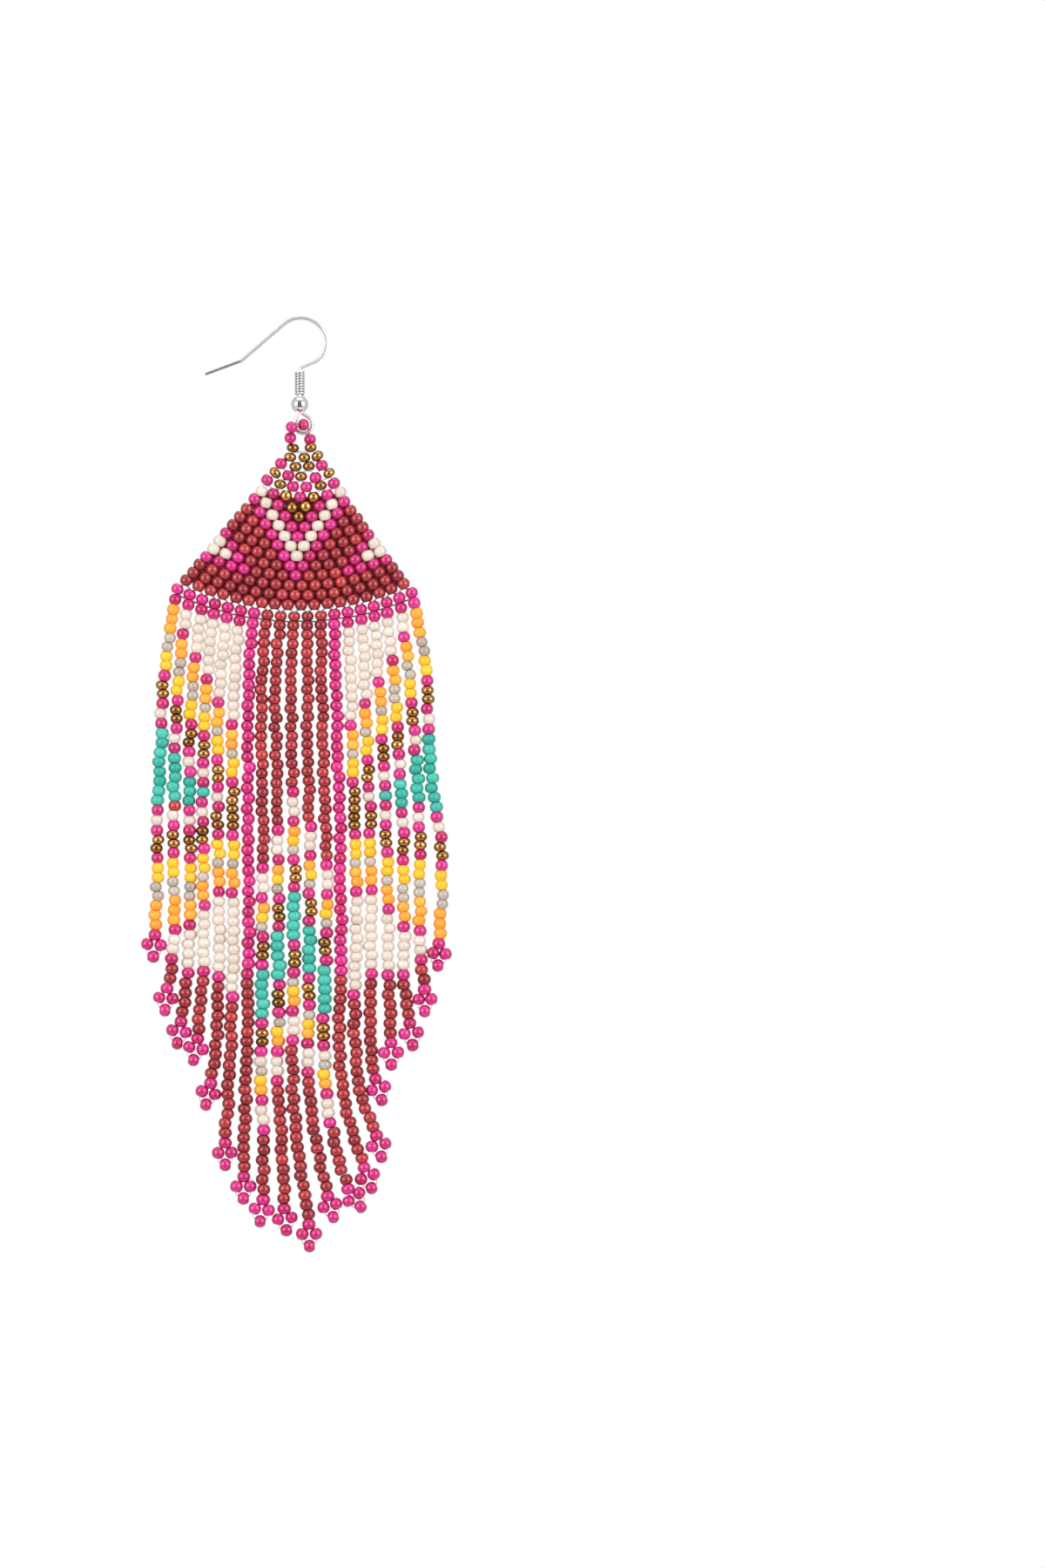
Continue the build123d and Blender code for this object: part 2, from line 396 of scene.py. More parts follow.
BEAD_FINISHES = {
    finish.hue: finish
    for finish in (
        BeadFinish(
            Hue.MAGENTA, deep=(188, 12, 96), pale=(226, 42, 146), length=1.80, width=2.28,
            squareness=2.0, end_cut=1.18, roughness=(0.28, 0.4), coat=0.5, lustre=0.15,
        ),
        BeadFinish(
            Hue.BRICK, deep=(140, 24, 38), pale=(192, 58, 61), length=1.68, width=2.21,
            squareness=2.04, end_cut=1.24, roughness=(0.34, 0.46), coat=0.6, lustre=0.3,
        ),
        BeadFinish(
            Hue.CREAM, deep=(219, 203, 189), pale=(236, 223, 211), length=1.63, width=2.2,
            squareness=2.2, roughness=(0.3, 0.44), coat=0.5, rim_shade=0.35,
        ),
        BeadFinish(
            Hue.ORANGE, deep=(248, 160, 44), pale=(255, 186, 64), length=1.66, width=2.24,
            roughness=(0.32, 0.46), rim_shade=0.45,
        ),
        BeadFinish(
            Hue.GREIGE, deep=(172, 158, 145), pale=(206, 195, 184), length=1.58, width=2.12,
            squareness=2.1, end_cut=1.18, roughness=(0.26, 0.4), coat=0.5,
        ),
        BeadFinish(
            Hue.YELLOW, deep=(246, 190, 28), pale=(254, 210, 52), length=1.64, width=2.24,
            squareness=2.2, roughness=(0.32, 0.46), rim_shade=0.45,
        ),
        BeadFinish(
            Hue.BRONZE, deep=(140, 98, 54), pale=(206, 156, 94), length=1.48, width=2.25,
            squareness=2.05, end_cut=1.18, roughness=(0.24, 0.34), lustre=1.0, rim_shade=0.85,
        ),
        BeadFinish(
            Hue.TEAL, deep=(38, 166, 148), pale=(80, 200, 183), length=1.64, width=2.36,
            squareness=2.2, roughness=(0.32, 0.46), rim_shade=0.5,
        ),
    )
}


@dataclass(frozen=True)
class MetalFinish:
    """Bright silver plate on wire or on the ball."""

    name: str
    bright: tuple[int, int, int]
    dull: tuple[int, int, int]
    roughness: tuple[float, float]
    # How strongly painted shade darkens the plate towards its dull colour at its edges
    rim_shade: float
    mottle: float = 0.3
    mottle_scale: float = 1500.0
    grain: float = 0.05
    grain_scale: float = 7000.0
    grain_depth: float = 0.004

    def material(self, kit: ShaderKit) -> bpy.types.Material:
        """Makes the material.

        Args:
            kit: the shared shader groups.

        Returns:
            The plated metal.
        """
        made, shader = new_material(self.name, Metallic=1.0)
        tree = made.node_tree
        plate = place_group(
            tree,
            kit.dye_lot,
            Deep=srgb(*self.bright),
            Pale=srgb(*self.dull),
            Mottle=self.mottle,
            Scale=self.mottle_scale,
        )
        grain = place_group(
            tree,
            kit.fine_grain,
            Scale=self.grain_scale,
            Strength=self.grain,
            Depth=self.grain_depth * MM,
        )
        links = tree.links
        links.new(read_attribute(tree, "dullness"), plate.inputs["Tone"])
        # painted shade: the plate darkens towards its dull colour at the edges
        paint_rim_shade(tree, plate.outputs["Color"], shader, self.dull, self.rim_shade)
        links.new(grain.outputs["Normal"], shader.inputs["Normal"])
        spread_roughness(tree, plate.outputs["Mask"], shader, *self.roughness)
        return made


# The dull colour is also the tint of each plate's painted edge shade, which is full on the wire
WIRE_PLATE = MetalFinish(
    "plated_wire", (240, 238, 237), (118, 113, 113), roughness=(0.42, 0.5), rim_shade=1.0, grain=0.03
)
COIL_PLATE = MetalFinish("plated_coil", (222, 220, 219), (150, 147, 147), roughness=(0.16, 0.28), rim_shade=0.8)
BALL_PLATE = MetalFinish("plated_ball", (236, 234, 232), (150, 147, 146), roughness=(0.08, 0.18), rim_shade=0.6)


@dataclass(frozen=True)
class ThreadFinish:
    """Beading thread, with the twist of its fine filaments."""

    name: str
    deep: tuple[int, int, int]
    pale: tuple[int, int, int]
    milky: float = 0.0
    tone: float = 0.5
    mottle: float = 0.8
    mottle_scale: float = 6000.0
    roughness: tuple[float, float] = (0.35, 0.55)
    twist_strength: float = 0.6
    twist_depth: float = 0.02
    glow_depth: float = 0.2

    def material(self, kit: ShaderKit) -> bpy.types.Material:
        """Makes the material.

        Args:
            kit: the shared shader groups.

        Returns:
            The thread's material.
        """
        made, shader = new_material(
            self.name, Subsurface_Weight=self.milky, Subsurface_Scale=self.glow_depth * MM
        )
        tree = made.node_tree
        dye = place_group(
            tree,
            kit.dye_lot,
            Deep=srgb(*self.deep),
            Pale=srgb(*self.pale),
            Tone=self.tone,
            Mottle=self.mottle,
            Scale=self.mottle_scale,
        )
        wave = add_node(tree, "ShaderNodeMath", operation="SINE")
        bump = add_node(tree, "ShaderNodeBump")
        set_inputs(bump, Strength=self.twist_strength, Distance=self.twist_depth * MM)
        links = tree.links
        links.new(dye.outputs["Color"], shader.inputs["Base Color"])
        links.new(read_attribute(tree, "twist"), wave.inputs[0])
        links.new(wave.outputs[0], bump.inputs["Height"])
        links.new(bump.outputs["Normal"], shader.inputs["Normal"])
        spread_roughness(tree, dye.outputs["Mask"], shader, *self.roughness)
        return made


GREY_THREAD = ThreadFinish("grey_thread", (92, 86, 86), (146, 138, 136))
FINE_THREAD = ThreadFinish("fine_thread", (146, 138, 136), (198, 190, 188))
# Heavy dark red thread for the fan's lower rows: stitching, and painted shade in the gaps between beads
SHADE_BINDING_THREAD = ThreadFinish("shade_binding_thread", (92, 16, 27), (126, 34, 45))
CLEAR_THREAD = ThreadFinish("clear_thread", (226, 196, 204), (246, 228, 232), milky=0.3)


# Mesh building


def finish_mesh(
    name: str,
    points: np.ndarray,
    faces: np.ndarray,
    materials: Sequence[bpy.types.Material],
    face_materials: Optional[np.ndarray] = None,
    values: Optional[dict[str, np.ndarray]] = None,
) -> bpy.types.Object:
    """Turns arrays into a smooth object in the scene.

    Args:
        name: the piece's name.
        points: the vertices, in metres.
        faces: the faces' corners, four to a row.
        materials: the piece's materials.
        face_materials: each face's place in materials, or None for the first.
        values: a number for each vertex, by attribute name.

    Returns:
        The object.
    """
    mesh = bpy.data.meshes.new(name)
    mesh.from_pydata(points.tolist(), [], faces.tolist())
    for material in materials:
        mesh.materials.append(material)
    if face_materials is not None:
        mesh.polygons.foreach_set("material_index", face_materials.astype(np.int32))
    for label, numbers in (values or {}).items():
        mesh.attributes.new(label, "FLOAT", "POINT").data.foreach_set("value", numbers.astype(np.float32))
    mesh.shade_smooth()
    mesh.validate()
    made = bpy.data.objects.new(name, mesh)
    bpy.context.scene.collection.objects.link(made)
    return made


def ring_faces(rings: int, sides: int, closed: bool) -> np.ndarray:
    """Faces between rings of vertices, each ring joined to the next.

    Args:
        rings: the number of rings.
        sides: the vertices in each ring.
        closed: whether the last ring joins the first.

    Returns:
        The faces' corners.
    """
    faces = []
    for ring in range(rings if closed else rings - 1):
        low, high = ring * sides, (ring + 1) % rings * sides
        for side in range(sides):
            after = (side + 1) % sides
            faces.append((low + side, low + after, high + after, high + side))
    return np.array(faces)


def cross_frame(direction: np.ndarray, spin: float = 0.0) -> np.ndarray:
    """Three axes whose last is a direction.

    Args:
        direction: the last axis, of length 1.
        spin: a turn about that axis, in radians.

    Returns:
        A 3x3 matrix with the axes as columns.
    """
    aside = np.array([0.0, 1.0, 0.0]) if abs(direction[1]) < 0.9 else np.array([1.0, 0.0, 0.0])
    first = np.cross(aside, direction)
    first /= np.linalg.norm(first)
    second = np.cross(direction, first)
    turned = first * math.cos(spin) + second * math.sin(spin)
    return np.column_stack([turned, np.cross(direction, turned), direction])


def distances_along(line: np.ndarray) -> np.ndarray:
    """How far along a line each of its points is."""
    return np.concatenate([[0.0], np.cumsum(np.linalg.norm(np.diff(line, axis=0), axis=1))])


def directions_along(line: np.ndarray) -> np.ndarray:
    """A line's direction at each of its points, of length 1."""
    ahead = np.gradient(line, axis=0)
    return ahead / np.linalg.norm(ahead, axis=1)[:, None]


def turns_round(sides: int) -> np.ndarray:
    """The angles of evenly spaced points round a circle, in radians."""
    return np.arange(sides) * 2 * math.pi / sides


@dataclass
class Route:
    """A thread's line, read point by point from the spline of its corners."""

    points: np.ndarray
    travelled: np.ndarray = field(init=False)

    def __post_init__(self) -> None:
        """Adds up the length from the start."""
        self.travelled = distances_along(self.points)

    @classmethod
    def through(cls, corners: Sequence[Sequence[float]], steps: int = 24) -> "Route":
        """Reads a NURBS spline whose control points are the corners.

        Args:
            corners: the control points, in metres.
            steps: the points read for each of them.

        Returns:
            The route.
        """
        curve = bpy.data.curves.new("route", "CURVE")
        curve.dimensions = "3D"
        curve.resolution_u = steps
        spline = curve.splines.new("NURBS")
        spline.points.add(len(corners) - 1)
        for point, corner in zip(spline.points, corners):
            point.co = (corner[0], corner[1], corner[2], 1.0)
        spline.order_u = 3
        spline.use_endpoint_u = True
        holder = bpy.data.objects.new("route", curve)
        read = bpy.data.meshes.new_from_object(holder)
        points = np.array([vertex.co[:] for vertex in read.vertices], float)
        bpy.data.meshes.remove(read)
        bpy.data.objects.remove(holder)
        bpy.data.curves.remove(curve)
        return cls(points)

    @property
    def length(self) -> float:
        """The whole length, in metres."""
        return float(self.travelled[-1])

    def at(self, distance: float) -> tuple[np.ndarray, np.ndarray]:
        """A place on the route.

        Args:
            distance: how far along, in metres.

        Returns:
            The point and the direction there.
        """
        distance = min(max(distance, 0.0), self.length)
        after = int(np.searchsorted(self.travelled, distance, side="right"))
        after = min(max(after, 1), len(self.points) - 1)
        before = after - 1
        run = self.points[after] - self.points[before]
        step = self.travelled[after] - self.travelled[before]
        share = (distance - self.travelled[before]) / step
        return self.points[before] + run * share, run / step


@dataclass
class Tubes:
    """Round threads of one radius, in metres, gathered into one mesh."""

    radius: float
    sides: int = 10
    plies: int = 2
    twist_per_mm: float = 9.0
    points: list[np.ndarray] = field(default_factory=list)
    faces: list[np.ndarray] = field(default_factory=list)
    twists: list[np.ndarray] = field(default_factory=list)
    count: int = 0

    def lay(self, line: np.ndarray) -> None:
        """Adds a thread along a line.

        Args:
            line: the points that it follows, in metres.
        """
        ahead = directions_along(line)
        side = cross_frame(ahead[0])[:, 0]
        angles = turns_round(self.sides)
        rings, twists = [], []
        for place, direction, distance in zip(line, ahead, distances_along(line)):
            side = side - direction * np.dot(side, direction)
            side /= np.linalg.norm(side)
            other = np.cross(direction, side)
            around = np.outer(np.cos(angles), side) + np.outer(np.sin(angles), other)
            rings.append(place + self.radius * around)
            twists.append(angles * self.plies + distance / MM * self.twist_per_mm)
        closing = [line[0][None, :], line[-1][None, :]]
        points = np.vstack([*rings, *closing])
        faces = ring_faces(len(rings), self.sides, False)
        last = (len(rings) - 1) * self.sides
        start, end = len(points) - 2, len(points) - 1
        caps = []
        for number in range(0, self.sides, 2):
            one, two = (number + 1) % self.sides, (number + 2) % self.sides
            caps.append((start, two, one, number))
            caps.append((end, last + number, last + one, last + two))
        self.points.append(points)
        self.faces.append(np.vstack([faces, np.array(caps)]) + self.count)
        self.twists.append(np.concatenate([np.concatenate(twists), [0.0, 0.0]]))
        self.count += len(points)

    def build(self, name: str, material: bpy.types.Material) -> bpy.types.Object:
        """Makes the piece from the threads laid so far.

        Args:
            name: the piece's name.
            material: the thread's material.

        Returns:
            The object.
        """
        return finish_mesh(
            name,
            np.vstack(self.points),
            np.vstack(self.faces),
            [material],
            values={"twist": np.concatenate(self.twists)},
        )


@dataclass
class Bead:
    """One seed bead: its middle in metres, the direction of its hole and its size in millimetres.

    Wobble is how much it may differ from an even bead, 0 for not at all.
    """

    centre: np.ndarray
    axis: np.ndarray
    hue: Hue
    length: float
    width: float
    wobble: float = 1.0


@dataclass(frozen=True)
class ShapedBead:
    """A bead with the small differences that it was given."""

    centre: np.ndarray
    frame: np.ndarray
    hue: Hue
    length: float
    width: float
    taper: float
    oval: float
    tone: float


@dataclass
class BeadTray:
    """Seed beads gathered into one mesh, each a little different from the next."""

    chance: random.Random
    hole: float = 0.6
    lip: float = 0.06
    squarer: float = 0.0
    around: int = 20
    levels: int = 9
    bore_rings: int = 4
    tilt: float = 0.09
    length_spread: float = 0.04
    width_spread: float = 0.03
    taper_spread: float = 0.05
    oval_spread: float = 0.02
    tone_middle: float = 0.42
    tone_spread: float = 0.24
    beads: list[ShapedBead] = field(default_factory=list)

    def put(self, bead: Bead) -> None:
        """Adds one bead, and draws how it differs from an even one.

        Args:
            bead: the bead.
        """
        draw = self.chance.uniform
        tilt = np.array([draw(-1, 1), draw(-1, 1), draw(-1, 1)]) * self.tilt * bead.wobble
        direction = bead.axis + tilt
        direction /= np.linalg.norm(direction)
        self.beads.append(
            ShapedBead(
                centre=bead.centre,
                frame=cross_frame(direction, draw(0, 2 * math.pi)),
                hue=bead.hue,
                length=bead.length * (1 + self.length_spread * bead.wobble * draw(-1, 1)),
                width=bead.width * (1 + self.width_spread * bead.wobble * draw(-1, 1)),
                taper=self.taper_spread * bead.wobble * draw(-1, 1),
                oval=self.oval_spread * bead.wobble * draw(-1, 1),
                tone=min(max(self.chance.gauss(self.tone_middle, self.tone_spread), 0.0), 1.0),
            )
        )

    def profile(self, bead: ShapedBead) -> tuple[np.ndarray, np.ndarray]:
        """A bead's outline, from one end of its hole over the outside to the other end.

        Args:
            bead: the bead, whose hue gives how square it is and where its ends are cut.

        Returns:
            The distance from the hole's axis and the height of each ring.
        """
        finish = BEAD_FINISHES[bead.hue]
        squareness = finish.squareness + self.squarer
        power = 2 / squareness
        last = math.asin(finish.end_cut ** (-squareness / 2))
        turns = np.linspace(-last, last, self.levels)
        out = np.cos(turns) ** power * bead.width / 2
        up = np.sign(np.sin(turns)) * np.abs(np.sin(turns)) ** power * finish.end_cut * bead.length / 2
        bore = [self.hole / 2, self.hole / 2 + self.lip]
        ends = [bead.length / 2 - self.lip, bead.length / 2]
        reach = np.array([*bore, *out, *reversed(bore)])
        height = np.array([-ends[0], -ends[1], *up, *reversed(ends)])
        return reach * (1 + bead.taper * height * 2 / bead.length), height

    def build(self, name: str, materials: dict[Hue, bpy.types.Material]) -> bpy.types.Object:
        """Makes the piece from the beads put in so far.

        Args:
            name: the piece's name.
            materials: the material of each colour.

        Returns:
            The object.
        """
        angles = turns_round(self.around)
        faces = ring_faces(self.levels + self.bore_rings, self.around, True)
        hues = [hue for hue in Hue if any(bead.hue is hue for bead in self.beads)]
        points, corners, kinds, tones = [], [], [], []
        for number, bead in enumerate(self.beads):
            reach, height = self.profile(bead)
            ring = np.column_stack([np.cos(angles) * (1 + bead.oval), np.sin(angles) * (1 - bead.oval)])
            flat = reach[:, None, None] * ring[None, :, :]
            high = np.broadcast_to(height[:, None, None], (len(height), self.around, 1))
            local = np.concatenate([flat, high], axis=2).reshape(-1, 3) * MM
            points.append(local @ bead.frame.T + bead.centre)
            corners.append(faces + number * len(local))
            kinds.append(np.full(len(faces), hues.index(bead.hue)))
            tones.append(np.full(len(local), bead.tone))
        return finish_mesh(
            name,
            np.vstack(points),
            np.vstack(corners),
            [materials[hue] for hue in hues],
            np.concatenate(kinds),
            {"bead_tone": np.concatenate(tones)},
        )


def read_chart(chart: str) -> list[Hue]:
    """Reads a run of beads such as "m o3 g2".

    Args:
        chart: a letter for each colour, with its count where there are several.

    Returns:
        The beads' colours in order.
    """
    beads = []
    for run in chart.split():
        beads += [Hue(run[0])] * int(run[1:] or 1)
    return beads


def dress(piece: bpy.types.Object, body: str, slot: str, *replaced: str) -> None:
    """Attaches a piece to its body and hides the CAD nodes that it replaces.

    Args:
        piece: the piece.
        body: the CAD body that it moves with.
        slot: not used.
        *replaced: the CAD nodes that it replaces.
    """
    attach(piece, body)
    if replaced:
        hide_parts(*replaced)
    log.info("%s: %d faces, rides on %s", piece.name, len(piece.data.polygons), body)


# The earring


# A place in the hook's plane, as (x, z) in millimetres
Spot = tuple[float, float]


@dataclass
class HookLine:
    """The middle line of the hook's wire, with slopes in degrees."""

    bend_r: float = 4.45
    front_bend_r: float = 3.7
    front_slope: float = 22.0
    back_slope: float = 40.6
    back_run: float = 10.0
    tail_slope: float = 20.4
    tail_run: float = 6.6
    kink_r: float = 1.2
    neck_r: float = 0.6
    stem_x: float = -0.15
    top_z: float = 0.3
    ball_z: float = -14.854
    ball_r: float = 1.5
    ball_bend_r: float = 0.75
    ball_bend_drop: float = 0.5
    ring_x: float = 0.5
    ring_z: float = -18.404
    ring_r: float = 1.55
    ring_neck_r: float = 0.5
    leg_offset: float = 0.35
    leg_tuck: float = 0.45
    arc_step: float = 3.0

    def arc(self, centre: Spot, radius: float, start: float, end: float) -> list[Spot]:
        """Points on an arc.

        Args:
            centre: the arc's centre.
            radius: its radius.
            start: its first angle, in degrees from +X towards +Z.
            end: its last angle.

        Returns:
            The points.
        """
        steps = max(2, round(abs(end - start) / self.arc_step))
        angles = np.radians(np.linspace(start, end, steps + 1))
        return [(centre[0] + radius * math.cos(a), centre[1] + radius * math.sin(a)) for a in angles]

    def rounded(self, corners: Sequence[Spot], radii: Sequence[float]) -> list[Spot]:
        """The wire's line through some bends, each of its own radius.

        Args:
            corners: the line's ends and the corners of its bends.
            radii: the radius of each bend.

        Returns:
            The points.
        """
        line = [corners[0]]
        for before, here, after, radius in zip(corners, corners[1:], corners[2:], radii):
            one = (Vector(before) - Vector(here)).normalized()
            two = (Vector(after) - Vector(here)).normalized()
            half = one.angle(two) / 2
            middle = Vector(here) + (one + two).normalized() * radius / math.sin(half)
            first = Vector(here) + one * radius / math.tan(half)
            last = Vector(here) + two * radius / math.tan(half)
            start = math.degrees(math.atan2(first.y - middle.y, first.x - middle.x))
            end = math.degrees(math.atan2(last.y - middle.y, last.x - middle.x))
            turn = (end - start + 180) % 360 - 180
            line += self.arc((middle.x, middle.y), radius, start, start + turn)
        line.append(corners[-1])
        return line

    def ring_leg(self, side: int) -> tuple[Spot, Spot, float]:
        """One of the two runs between the ball and the ring.

        Args:
            side: 1 for the run on the +X side, -1 for the other.

        Returns:
            Where it leaves the ball, where it meets the ring, and the ring's angle there.
        """
        corner = (self.stem_x + side * self.leg_offset, self.ball_z - self.ball_r)
        away = (corner[0] - self.ring_x, corner[1] - self.ring_z)
        turn = math.atan2(away[1], away[0]) - side * math.acos(self.ring_r / math.hypot(*away))
        meet = (self.ring_x + self.ring_r * math.cos(turn), self.ring_z + self.ring_r * math.sin(turn))
        return corner, meet, math.degrees(turn)

    def back_along(self, start: Spot, slope: float, run: float) -> Spot:
        """The lower end of a straight run that goes back from a place at a slope in degrees."""
        turn = math.radians(slope)
        return start[0] - math.cos(turn) * run, start[1] - math.sin(turn) * run

    def points(self) -> np.ndarray:
        """The whole line, from the tail's tip to the end that is tucked into the ball.

        Returns:
            The points, each as (x, z) in millimetres.
        """
        bend = (0.0, self.top_z - self.bend_r)
        over = self.arc(bend, self.bend_r, 90 + self.back_slope, 0)
        kink = self.back_along(over[0], self.back_slope, self.back_run)
        tip = self.back_along(kink, self.tail_slope, self.tail_run)
        tail = self.rounded([tip, kink, over[0]], [self.kink_r])
        front_middle = (self.bend_r - self.front_bend_r, bend[1])
        front = self.arc(front_middle, self.front_bend_r, 0, self.front_slope - 90)
        leave = front[-1]
        drop = (leave[0] - self.stem_x) * math.tan(math.radians(self.front_slope))
        right, right_meet, right_angle = self.ring_leg(1)
        left, left_meet, left_angle = self.ring_leg(-1)
        ball_top = (self.stem_x, self.ball_z + self.ball_r)
        ball_inside = (right[0], self.ball_z - self.ball_bend_drop)
        stem = self.rounded(
            [leave, (self.stem_x, leave[1] - drop), ball_top, ball_inside, right, right_meet],
            [self.neck_r, self.ball_bend_r, self.ball_bend_r, self.ring_neck_r],
        )
        ring = self.arc((self.ring_x, self.ring_z), self.ring_r, right_angle, left_angle - 360)
        tuck = self.rounded([left_meet, left, (left[0], left[1] + self.leg_tuck)], [self.ring_neck_r])
        line = [tip]
        for point in (*tail, *over, *front, *stem, *ring, *tuck):
            if math.dist(point, line[-1]) > SAME_PLACE:
                line.append(point)
        return np.array(line)


@dataclass
class EarHook:
    """The wire hook with its flattened bend, its coil and its ball."""

    kit: ShaderKit
    wire_d: float = 0.6
    tail_d: float = 0.46
    flat_across: float = 0.68
    flat_through: float = 0.5
    flat_squareness: float = 1.6
    wire_sides: int = 20
    wire_step: float = 0.25
    kink_ramp: float = 1.2
    tail_ramp: float = 1.0
    front_ramp: float = 2.0
    flat_front_share: float = 0.6
    trim_share: float = 0.86
    trim_length: float = 0.05
    # How dull each plate is drawn: a little on the wire and the ball, much duller on the tail
    wire_dullness: float = 0.08
    tail_dullness: float = 0.75
    coil_wire_d: float = 0.4
    coil_mean_r: float = 0.7
    coil_pitch: float = 0.45
    coil_turns: float = 9.0
    coil_turn_steps: int = 28
    coil_sides: int = 12
    ball_d: float = 3.0
    ball_bore_d: float = 1.5
    ball_lip: float = 0.04
    ball_lip_depth: float = 0.06
    ball_levels: int = 33
    ball_sides: int = 64
    ball_dullness: float = 0.05
    line: HookLine = field(default_factory=HookLine)

    def build(self) -> None:
        """Builds and dresses the hook's three pieces."""
        wire, coil, ball = (finish.material(self.kit) for finish in (WIRE_PLATE, COIL_PLATE, BALL_PLATE))
        dress(self.build_wire(wire), "hook", "hook_wire", "ear_hook")
        dress(self.build_coil(coil), "hook", "hook_wire", "hook_coil")
        dress(self.build_ball(ball), "hook", "hook_ball", "hook_ball")

    def build_wire(self, material: bpy.types.Material) -> bpy.types.Object:
        """The wire, round at the tail and the ring and pressed flatter over the bend.

        Args:
            material: the plated wire.

        Returns:
            The piece.
        """
        line = self.divide(self.line.points(), self.wire_step)
        ahead = directions_along(line)
        rings, dullness = [], []
        for place, direction, distance in zip(line, ahead, distances_along(line)):
            tail = 1 - self.ramp(distance, self.line.tail_run, self.tail_ramp)
            spread, depth = self.section(tail, self.pressed(distance))
            side = np.array([-direction[1], direction[0]])
            rings.append(np.column_stack([place[0] + side[0] * spread, depth, place[1] + side[1] * spread]))
            dullness.append(np.full(self.wire_sides, self.wire_dullness + self.tail_dullness * tail))
        first = self.shrink(rings[0], self.trim_share, -ahead[0] * self.trim_length)
        last = self.shrink(rings[-1], self.trim_share, ahead[-1] * self.trim_length)
        still = np.zeros(2)
        rings = [self.shrink(first, 0.0, still), first, *rings, last, self.shrink(last, 0.0, still)]
        dullness = [dullness[0], dullness[0], *dullness, dullness[-1], dullness[-1]]
        return finish_mesh(
            "hook_wire",
            np.vstack(rings) * MM,
            ring_faces(len(rings), self.wire_sides, False)[:, ::-1],
            [material],
            values={"dullness": np.concatenate(dullness)},
        )

    def pressed(self, distance: float) -> float:
        """How flat the wire is pressed at a distance along it.

        Args:
            distance: how far from the tail's tip.

        Returns:
            A number from 0 to 1.
        """
        line = self.line
        bent = line.tail_run + line.back_run + math.radians(90 + line.back_slope) * line.bend_r
        bent += math.radians(90 - line.front_slope) * line.front_bend_r * self.flat_front_share
        starts = self.ramp(distance, line.tail_run, self.kink_ramp)
        return starts * (1 - self.ramp(distance, bent, self.front_ramp))

    def section(self, tail: float, pressed: float) -> tuple[np.ndarray, np.ndarray]:
        """The wire's outline across its direction.

        Args:
            tail: 1 on the thin tail and 0 elsewhere.
            pressed: 1 where it is pressed flat and 0 where it is round.

        Returns:
            Each point's distance aside and depth.
        """
        plain = self.wire_d + (self.tail_d - self.wire_d) * tail
        across = plain + (self.flat_across - plain) * pressed
        through = plain + (self.flat_through - plain) * pressed
        power = 2 / (2 + self.flat_squareness * pressed)
        angles = turns_round(self.wire_sides)
        cosine, sine = np.cos(angles), np.sin(angles)
        spread = np.sign(cosine) * np.abs(cosine) ** power * across / 2
        depth = np.sign(sine) * np.abs(sine) ** power * through / 2
        return spread, depth

    def ramp(self, distance: float, middle: float, width: float) -> float:
        """A smooth step from 0 to 1 along the wire, half done at middle and as long as width."""
        share = min(max((distance - middle) / width + 0.5, 0.0), 1.0)
        return share * share * (3 - 2 * share)

    def shrink(self, ring: np.ndarray, share: float, shift: np.ndarray) -> np.ndarray:
        """A ring of points drawn in to a share of its size and moved by an (x, z) shift."""
        middle = ring.mean(axis=0)
        return middle + (ring - middle) * share + np.array([shift[0], 0.0, shift[1]])

    def divide(self, line: np.ndarray, step: float) -> np.ndarray:
        """The same line with no gap between its points longer than a step.

        Args:
            line: the points.
            step: the longest gap.

        Returns:
            The points, with new ones on the long runs.
        """
        points = [line[0]]
        for before, after in zip(line, line[1:]):
            pieces = max(1, math.ceil(math.dist(before, after) / step))
            points += [before + (after - before) * (number + 1) / pieces for number in range(pieces)]
        return np.array(points)

    def build_coil(self, material: bpy.types.Material) -> bpy.types.Object:
        """The coil of finer wire round the stem.

        Args:
            material: the plated wire.

        Returns:
            The piece.
        """
        low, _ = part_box("hook_coil")
        bottom = low.z / MM + self.coil_wire_d / 2
        turns = np.linspace(0, self.coil_turns, round(self.coil_turns * self.coil_turn_steps) + 1)
        angles = turns * 2 * math.pi
        helix = np.column_stack(
            [
                self.line.stem_x + self.coil_mean_r * np.cos(angles),
                self.coil_mean_r * np.sin(angles),
                bottom + turns * self.coil_pitch,
            ]
        )
        wound = Tubes(self.coil_wire_d / 2 * MM, sides=self.coil_sides)
        wound.lay(helix * MM)
        return wound.build("hook_coil_wire", material)

    def build_ball(self, material: bpy.types.Material) -> bpy.types.Object:
        """The bored ball, with a softened lip at each end of its bore.

        Args:
            material: the plated ball.

        Returns:
            The piece.
        """
        radius, bore = self.ball_d / 2, self.ball_bore_d / 2
        lip = math.acos((bore + self.ball_lip) / radius)
        climbs = np.linspace(-lip, lip, self.ball_levels)
        end = math.sqrt(radius**2 - bore**2) - self.ball_lip_depth
        reach = np.array([bore, *(radius * np.cos(climbs)), bore])
        height = np.array([-end, *(radius * np.sin(climbs)), end])
        angles = turns_round(self.ball_sides)
        middle = np.array([self.line.stem_x, 0.0, self.line.ball_z])
        points = np.stack(
            [
                np.outer(reach, np.cos(angles)),
                np.outer(reach, np.sin(angles)),
                np.repeat(height[:, None], self.ball_sides, axis=1),
            ],
            axis=2,
        ).reshape(-1, 3)
        return finish_mesh(
            "ball",
            (points + middle) * MM,
            ring_faces(len(height), self.ball_sides, True),
            [material],
            values={"dullness": np.full(len(points), self.ball_dullness)},
        )


